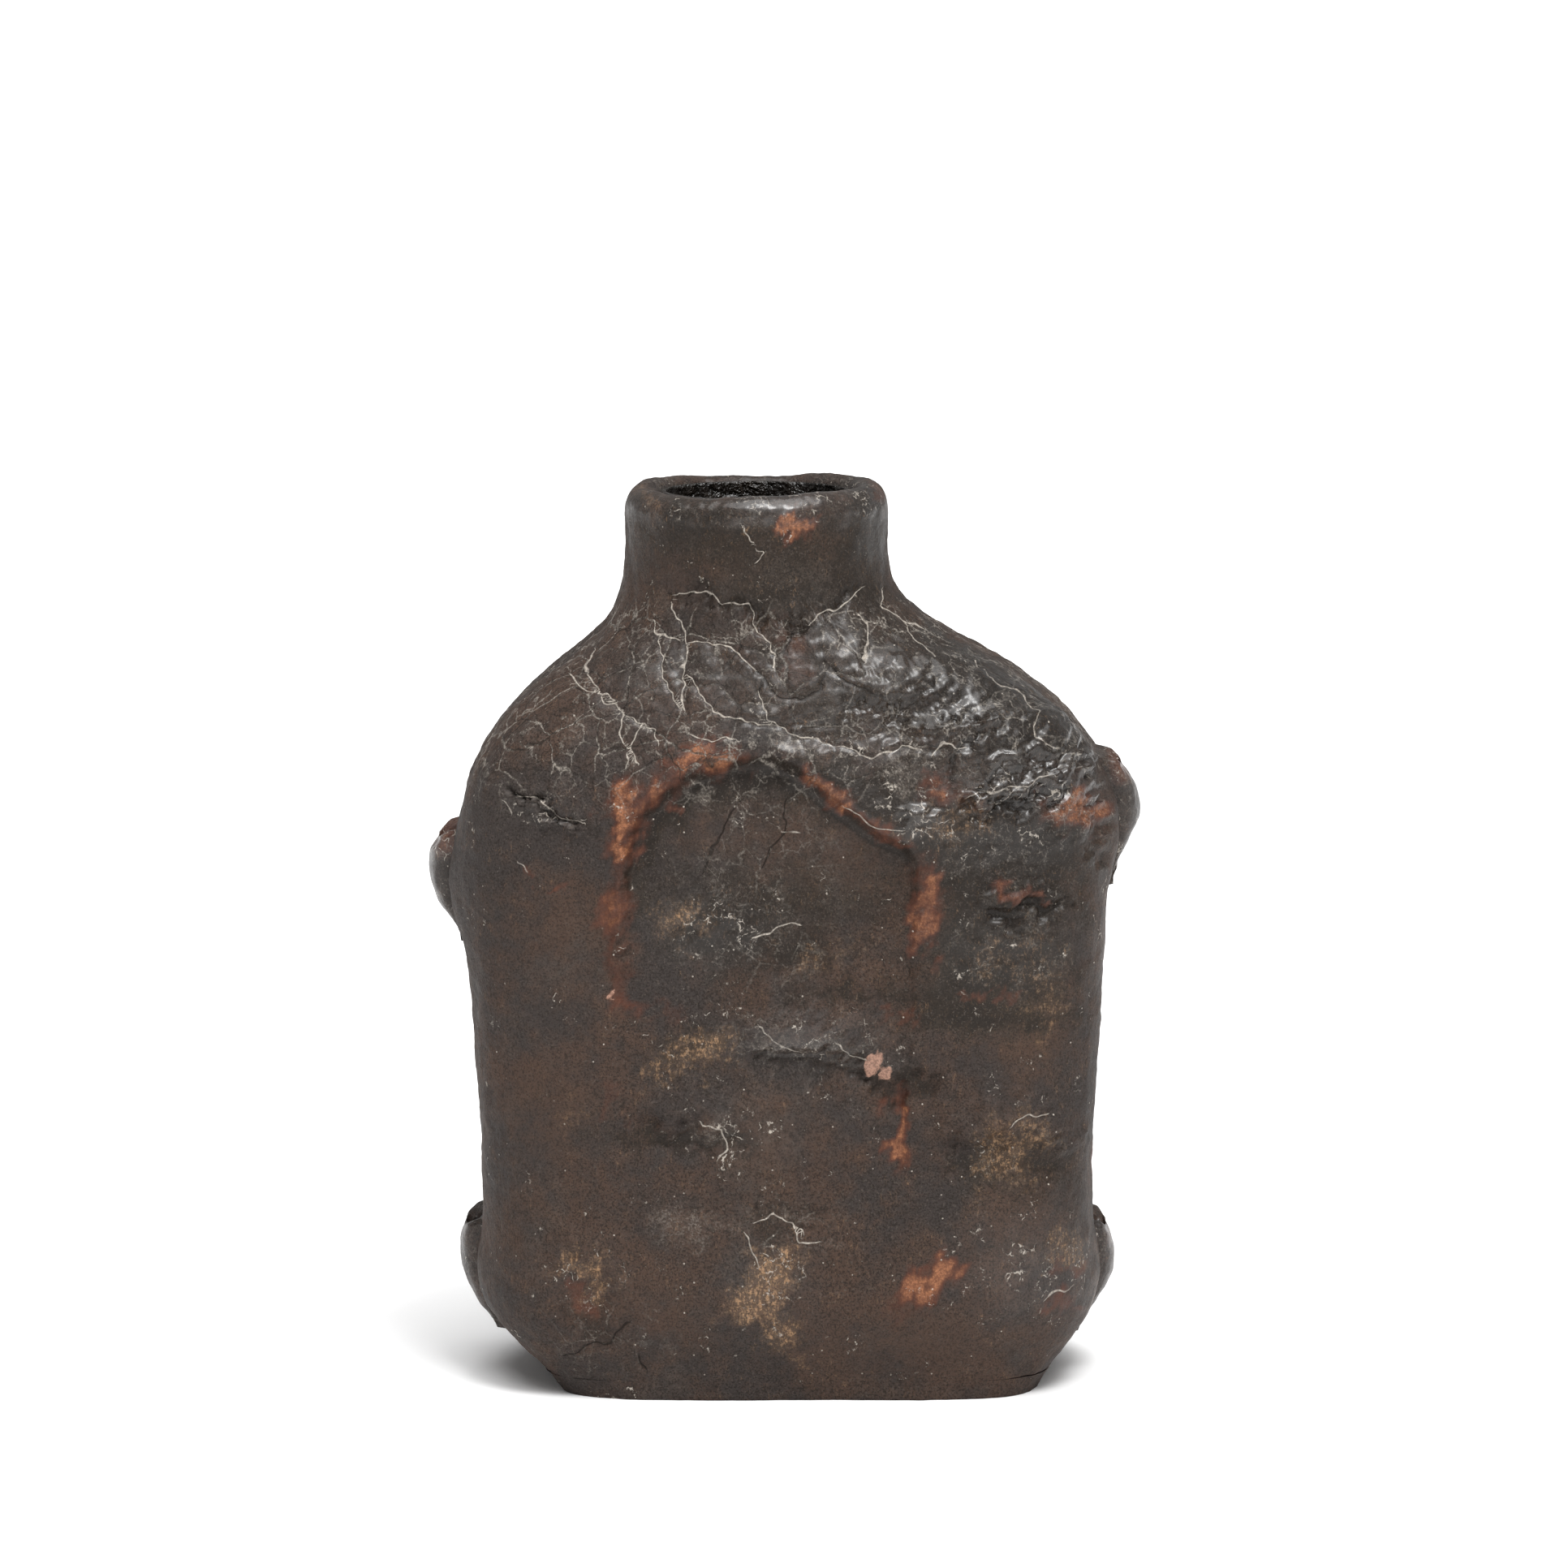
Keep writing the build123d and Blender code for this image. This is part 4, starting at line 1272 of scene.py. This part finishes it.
# Base panel: the thick sole that the flask stands on. Its edge is dressed flush with the body's foot and
# its underside is flat.
base_ring_shares = [0.97, 0.85, 0.6, 0.3]
base_layers = layers_of(range(base_end + 1), range(skin_columns))
lowest = {name: layer[0] for name, layer in base_layers.items()}
highest = {name: layer[-1] for name, layer in base_layers.items()}
base_middle = lowest["place"].mean(axis=0)


def inward_ring(source, share):
    """A ring of the base's underside or top, drawn towards its middle."""
    ring = {name: layer.copy() for name, layer in source.items()}
    for name in ("place", "rest"):
        ring[name][:, :2] = mix(base_middle[:2], ring[name][:, :2], share)
    ring["outward"] *= 0.0
    return ring


stack = [inward_ring(lowest, share) for share in base_ring_shares[::-1]]
stack += [{name: layer[row] for name, layer in base_layers.items()} for row in range(base_end + 1)]
stack += [inward_ring(highest, share) for share in base_ring_shares]
for ring in stack[: len(base_ring_shares) + 1] + stack[-len(base_ring_shares) - 1 :]:
    ring["outward"] = ring["outward"] * (1.0, 1.0, 0.0)
base_layers = {name: np.concatenate([ring[name] for ring in stack]) for name in lowest}
faces = ring_faces(len(stack), skin_columns, False)
underside = np.arange(skin_columns)
faces += [underside[::-1].tolist(), (underside + (len(stack) - 1) * skin_columns).tolist()]
top_edge = (len(base_ring_shares) + base_end) * skin_columns
base = leather_object("base_panel_leather", base_layers, faces, (top_edge + underside).tolist())
press_relief(base, relief_sizes)
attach(base, "root")
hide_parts("base_panel")

# Neck tube: a short wide collar of the same hide, smooth in front and crazed where it leaves the shoulders.
neck_layers = layers_of(range(body_end, len(skin_heights)), range(skin_columns))
border = border_points(len(skin_heights) - body_end, skin_columns, True)
neck_layers, faces = closed_sheet(neck_layers, True)
neck = leather_object("neck_tube_leather", neck_layers, faces, border)
press_relief(neck, relief_sizes)
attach(neck, "root")
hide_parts("neck_tube")

# Mouth rim: the top of the hide rolled over and hammered down round the mouth, uneven and shiny from use.
rim_bore = 0.0255
rim_width = neck_radius - rim_bore
rim_height = rim_top - rim_low
rim_profile = [(0.0, 0.0), (-0.02, 0.25), (0.0, 0.45), (0.06, 0.68), (0.18, 0.86), (0.36, 0.97), (0.55, 1.0)]
rim_profile += [(0.74, 0.96), (0.9, 0.84), (1.0, 0.62), (1.02, 0.35), (1.0, 0.0)]
rim_steps = 54
rim_wave_heights = [(1, 0.0006, 0.9), (2, 0.0005, 2.1), (3, 0.0003, 0.3)]
rim_wave_heights += [(7, 0.00018, 1.0), (11, 0.00012, 2.0)]
rolled_low, rolled_high = 0.2290, 0.2345
rolled_gloss, rolled_glitter, rolled_creases = 0.12, 0.05, 0.40
rim_crease = (0.7, 957, 618, 70, 26)
rim_crackle = 0.02
wave_from = 0.3
soft_rows = 2
rim_rest_row = skin_layers["rest"][-1]
rim_inward = np.stack([neck_axis - rim_rest_row[:, 0], -rim_rest_row[:, 1], np.zeros(skin_columns)], axis=-1)
rim_inward /= np.linalg.norm(rim_inward, axis=-1, keepdims=True)
rim_angle = np.arctan2(-rim_inward[:, 1], -rim_inward[:, 0])
profile = np.array(rim_profile)
lengths = np.concatenate(([0.0], np.cumsum(np.hypot(*np.diff(profile * (rim_width, rim_height), axis=0).T))))
places = np.linspace(0.0, lengths[-1], rim_steps)
profile = [softened(np.interp(places, lengths, column), soft_rows) for column in profile.T]
profile = np.stack(profile, axis=-1)
wave = sum(height * np.sin(turns * rim_angle + shift) for turns, height, shift in rim_wave_heights)
wave -= wave.max()
rim_rings = []
for inset, rise in profile:
    lift = rise * rim_height + wave * ease(rise, wave_from, 1.0)
    ring = rim_rest_row + rim_inward * (inset * rim_width)
    ring[:, 2] += lift
    rim_rings.append(ring)
rim_rest = np.array(rim_rings)
rim_outward = -outward_of(rim_rest[:, ::-1])[:, ::-1]
rim_place = rim_rest.copy()
rim_place[0] = skin_layers["place"][-1]
rim_layers = {"place": rim_place, "rest": rim_rest, "outward": rim_outward}
rim_layers["outward"][0] = skin_outward[-1]
rim_sight = Sight(rim_rest, rim_outward)
rim_pale, rim_pale_side = rim_sight.crack_lines(pale_cracks)
rolled = ease(rim_rest[..., 2], rolled_low, rolled_high)
rim_gloss = rim_sight.patches(glossy_patches) + rolled_gloss * rolled
rim_glitter = rim_sight.patches(glitter_patches) + rolled_glitter * rolled
rim_creased = rolled_creases * rolled + rim_sight.patches([rim_crease])
rim_marks = [rim_sight.strokes(rubbed), rim_sight.patches(ochre_scuffs), rim_sight.patches(bloom_patches)]
rim_layers["marks"] = as_colour(rim_rest, *rim_marks)
rim_layers["cracks"] = as_colour(rim_rest, rim_crackle, rim_pale, 0.0)
rim_layers["dressing"] = as_colour(rim_rest, rim_gloss, 0.0, rim_sight.patches(olive_and_shade_patches))
rim_layers["zones"] = as_colour(rim_rest, rim_creased, 0.0, rim_glitter)
rim_layers["sides"] = as_colour(rim_rest, rim_pale_side, far_side, rim_sight.strokes(painted_shade_strokes))
rim_flat = {name: layer.reshape(-1, layer.shape[-1]) for name, layer in rim_layers.items()}
faces = ring_faces(len(rim_rest), skin_columns, True)
rim = leather_object("mouth_rim_leather", rim_flat, faces, list(range(skin_columns)))
press_relief(rim, relief_sizes)
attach(rim, "root")
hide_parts("mouth_rim")

# Lugs: four thick sleeves of leather on the gussets, each with an upright channel for the carrying cord.
# Each flares into the side of the body, and its lips are worn open.
lug_around = 128
lug_half_depth = 0.0135
lug_flare = 0.0050
lug_sink = 0.0030
lug_rows, channel_rows = 44, 22
lug_boldness = 2 / 2.7
lug_wall_end = 0.7
lip_drop = 0.0012
worn_depth, worn_from, worn_full = 0.007, 0.084, 0.088
top_mouth, low_mouth = 2.6, 2.2
top_lips = [(0.12, 0.0008), (0.3, 0.0011), (0.55, 0.0009), (0.8, 0.0004), (0.95, 0.0001)]
low_lips = [(0.05, 0.0001), (0.2, 0.0004), (0.45, 0.0006), (0.7, 0.0005), (0.9, 0.0003)]
lug_relief = {**relief_sizes, "Lump height": 0.0004, "Dimple height": 0.0005}

# Each lug's side, its channel's place and radius at the bottom and at the top, the outline of its tip as
# heights and reaches, and how far its bottom and its top rise towards the gusset
lugs = {
    "upper_left_lug": {
        "side": -1,
        "channel": [(0.0856, 0.0015), (0.0890, 0.0028)],
        "outline": [
            (0.1200, 0.0842), (0.1222, 0.0864), (0.1240, 0.0884), (0.1262, 0.0908), (0.1284, 0.0925),
            (0.1328, 0.0940), (0.1371, 0.0946), (0.1415, 0.0940), (0.1445, 0.0917),
        ],
        "lean": (-0.0030, 0.0045),
    },
    "upper_right_lug": {
        "side": 1,
        "channel": [(0.0872, 0.0016), (0.0875, 0.0026)],
        "outline": [
            (0.1352, 0.0862), (0.1380, 0.0878), (0.1415, 0.0900), (0.1458, 0.0924), (0.1502, 0.0946),
            (0.1545, 0.0945), (0.1590, 0.0932), (0.1620, 0.0912), (0.1640, 0.0894),
        ],
        "lean": (-0.0030, 0.0040),
    },
    "lower_left_lug": {
        "side": -1,
        "channel": [(0.0765, 0.0012), (0.0822, 0.0022)],
        "outline": [
            (0.0150, 0.0766), (0.0175, 0.0796), (0.0196, 0.0822), (0.0240, 0.0845), (0.0283, 0.0862),
            (0.0327, 0.0867), (0.0371, 0.0867), (0.0400, 0.0855),
        ],
        "lean": (-0.0018, 0.0045),
    },
    "lower_right_lug": {
        "side": 1,
        "channel": [(0.0785, 0.0012), (0.0842, 0.0021)],
        "outline": [
            (0.0140, 0.0790), (0.0165, 0.0808), (0.0196, 0.0834), (0.0240, 0.0866), (0.0283, 0.0886),
            (0.0327, 0.0887), (0.0371, 0.0878), (0.0395, 0.0862),
        ],
        "lean": (-0.0018, 0.0040),
    },
}
turn = np.linspace(0.0, 2 * pi, lug_around, endpoint=False)


def lug_ring(lug, height, reach, lean, channel_x):
    """A level ring of a lug's outside: boxy towards the tip and flared where it meets the gusset."""
    side = lug["side"]
    z = height + lean * (1 - np.cos(turn)) / 2
    section = sections(np.clip(z, 0.0, None))
    root = np.abs(section[:, 0] if side < 0 else section[:, 1]) - lug_sink
    outer = np.cos(turn) > 0
    tip_x = channel_x + (reach - channel_x) * np.abs(np.cos(turn)) ** lug_boldness
    tip_y = lug_half_depth * np.copysign(np.abs(np.sin(turn)) ** lug_boldness, np.sin(turn))
    inner_share = np.clip(-np.cos(turn) / lug_wall_end, 0.0, 1.0)
    line_share = np.clip((-np.cos(turn) - lug_wall_end) / (1 - lug_wall_end), 0.0, 1.0)
    flare = lug_half_depth + lug_flare * inner_share**2
    root_x = channel_x - (channel_x - root) * inner_share
    root_y = np.sign(np.sin(turn)) * flare * (1 - line_share)
    x = np.where(outer, tip_x, root_x)
    y = np.where(outer, tip_y, root_y)
    return np.stack([side * x, y, z], axis=-1)


def channel_ring(lug, height, wide, lean, rise):
    """A level ring of a lug's cord channel, opened out across the lug by a factor."""
    channel_x, radius = mix(*np.array(lug["channel"]), rise)
    x = channel_x + radius * np.cos(turn)
    z = height + lean * (1 - np.cos(turn)) / 2
    return np.stack([lug["side"] * x, radius * wide * np.sin(turn), z], axis=-1)


for name, lug in lugs.items():
    outline = np.array(lug["outline"])
    heights = np.linspace(outline[0, 0], outline[-1, 0], lug_rows)
    reaches = softened(np.interp(heights, outline[:, 0], outline[:, 1]), soft_rows)
    rises = np.linspace(0, 1, lug_rows)
    leans = mix(*lug["lean"], rises)
    low, high = heights[0], heights[-1]
    channel_xs = mix(lug["channel"][0][0], lug["channel"][1][0], rises)
    rings = [lug_ring(lug, *level) for level in zip(heights, reaches, leans, channel_xs)]
    top_channel = channel_ring(lug, high - lip_drop, top_mouth, lug["lean"][1], 1.0)
    low_channel = channel_ring(lug, low + lip_drop, low_mouth, lug["lean"][0], 0.0)
    top_lip = [mix(rings[-1], top_channel, share) + (0, 0, bulge) for share, bulge in top_lips]
    low_lip = [mix(low_channel, rings[0], share) - (0, 0, bulge) for share, bulge in low_lips]
    bore = []
    for depth in np.linspace(0.0, 1.0, channel_rows):
        wide = 1 + (top_mouth - 1) * (1 - ease(depth, 0.0, 0.35)) + (low_mouth - 1) * ease(depth, 0.7, 1.0)
        lean = mix(lug["lean"][1], lug["lean"][0], depth)
        bore.append(channel_ring(lug, mix(high - lip_drop, low + lip_drop, depth), wide, lean, 1 - depth))
    path = np.array(rings + top_lip + bore + low_lip)
    if lug["side"] < 0:
        path = path[:, ::-1]
    outward = outward_of(path)
    top_worn = ease(path[..., 2], high - worn_depth, high) * ease(np.abs(path[..., 0]), worn_from, worn_full)
    layers = {
        "place": path,
        "rest": path,
        "outward": outward,
        "marks": as_colour(path, top_worn * 0.6, top_worn * 0.4, 0.25),
        "cracks": as_colour(path, 0.2, 0.0, 0.0),
        "dressing": as_colour(path, 0.3, 0.0, 0.35),
        "zones": as_colour(path, 0.3, 0.0, 0.3 + top_worn * 0.5),
        "sides": as_colour(path, far_side, far_side, 0.0),
    }
    flat = {layer: values.reshape(-1, values.shape[-1]) for layer, values in layers.items()}
    piece = leather_object(f"{name}_leather", flat, ring_faces(len(path), lug_around, True), [])
    press_relief(piece, lug_relief)
    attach(piece, "root")
    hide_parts(name)

# Pitch lining: hot pitch poured in and swilled round, so that it coats the inside up to the lip in a black
# glossy skin full of burst bubbles.
lining_gap = 0.0002
lining_thickness = 0.0014
lining_top = rim_top - 0.0030
lining_around = 240
lining_low = base_seam + 0.0004
lining_parting = 0.19
lining_rows = (90, 80)
lip_squeeze = 0.006


def lining_ring(height, inset):
    """A level ring of the lining, inside the wall and then inside the rim's bore."""
    left, right, half_depth, squareness = sections(np.array(min(height, rim_low)))
    middle = (left + right) / 2
    half_width = (right - left) / 2
    squeeze = leather_wall + inset
    if height > rim_low - lip_squeeze:
        squeeze = mix(squeeze, rim_width + inset, ease(np.array(height), rim_low - lip_squeeze, rim_low))
    angle = np.linspace(0.0, 2 * pi, lining_around, endpoint=False)
    power = 2 / squareness
    along = np.copysign(np.abs(np.cos(angle)) ** power, np.cos(angle))
    across = np.copysign(np.abs(np.sin(angle)) ** power, np.sin(angle))
    x = middle + (half_width - squeeze) * along
    y = (half_depth - squeeze) * across
    return np.stack([x, y, np.full(lining_around, height)], axis=-1)


low_heights = np.linspace(lining_low, lining_parting, lining_rows[0])
high_heights = np.linspace(lining_parting, lining_top, lining_rows[1])
lining_heights = np.concatenate([low_heights, high_heights[1:]])
slopes = np.gradient(sections(lining_heights)[:, 1], lining_heights)
thicker = np.sqrt(1 + np.clip(slopes, -2.0, 2.0) ** 2) - 1
outer_rings, inner_rings = [], []
for height, extra in zip(lining_heights, thicker):
    outer_rings.append(lining_ring(height, lining_gap + leather_wall * extra))
    inset = lining_gap + lining_thickness + leather_wall * extra
    inner_rings.append(lining_ring(max(height, lining_low + lining_thickness), inset))
path = np.array(outer_rings + inner_rings[::-1])
bottom = np.arange(lining_around)
faces = ring_faces(len(path), lining_around, False)
faces += [bottom[::-1].tolist(), (bottom + (len(path) - 1) * lining_around).tolist()]
lining_mesh = bpy.data.meshes.new("pitch_lining_skin")
lining_mesh.from_pydata(path.reshape(-1, 3).tolist(), [], faces)
lining_mesh.polygons.foreach_set("use_smooth", np.ones(len(lining_mesh.polygons), dtype=bool))


def pitch_finish():
    """Black pitch that dried with blisters: glossy, with a brown edge where it is thin."""
    material, graph = new_material("dried_pitch")
    place = graph.add("ShaderNodeTexCoord", {}, {}, "Object")
    blisters = graph.noise(place, 0.0032, detail=3.0, roughness=0.6, distortion=0.6)
    grit = graph.noise(place, 0.0009, detail=3.0)
    stops = [(0.35, (0.006, 0.005, 0.004)), (0.6, (0.016, 0.012, 0.009)), (0.8, (0.05, 0.034, 0.022))]
    colour = graph.add("ShaderNodeValToRGB", {"stops": stops}, {0: blisters * 0.7 + grit * 0.3})
    height = blisters * 0.0022 + grit * 0.0006
    bump = graph.add("ShaderNodeBump", {}, {"Strength": 1.0, "Distance": 1.0, "Height": height})
    roughness = 0.12 + grit.between(0.4, 0.75) * 0.20
    sockets = {"Base Color": colour, "Roughness": roughness, "Specular IOR Level": 0.6, "Normal": bump}
    shader = graph.add("ShaderNodeBsdfPrincipled", {}, sockets)
    graph.add("ShaderNodeOutputMaterial", {}, {"Surface": shader})
    return material


lining_mesh.materials.append(pitch_finish())
lining = bpy.data.objects.new("pitch_lining_skin", lining_mesh)
bpy.context.scene.collection.objects.link(lining)
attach(lining, "root")
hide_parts("pitch_lining")

# Stitches: waxed linen thread, drawn tight inside the thickness of the hide. They stay as the frame has them.


def thread_finish():
    """Waxed linen: two plies twisted together, darkened by the wax."""
    material, graph = new_material("waxed_thread")
    place = graph.add("ShaderNodeTexCoord", {}, {}, "Object")
    turned = graph.add("ShaderNodeMapping", {}, {"Vector": place, "Rotation": (0.6, 0.3, 0.8)})
    twist = graph.add("ShaderNodeTexWave", {}, {"Vector": turned, "Scale": 420.0, "Distortion": 1.5})
    wax = graph.noise(place, 0.0012)
    ramp = {"stops": [(0.2, (0.06, 0.04, 0.022)), (0.8, (0.19, 0.135, 0.08))]}
    colour = graph.add("ShaderNodeValToRGB", ramp, {0: twist * 0.6 + wax * 0.4})
    bump = graph.add("ShaderNodeBump", {}, {"Strength": 1.0, "Distance": 1.0, "Height": twist * 0.0001})
    roughness = 0.55 + wax * 0.2
    sockets = {"Base Color": colour, "Roughness": roughness, "Normal": bump}
    shader = graph.add("ShaderNodeBsdfPrincipled", {}, sockets)
    graph.add("ShaderNodeOutputMaterial", {}, {"Surface": shader})
    return material


waxed_thread = thread_finish()
for name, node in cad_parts.items():
    if name.endswith("stitches"):
        node.data.materials.clear()
        node.data.materials.append(waxed_thread)
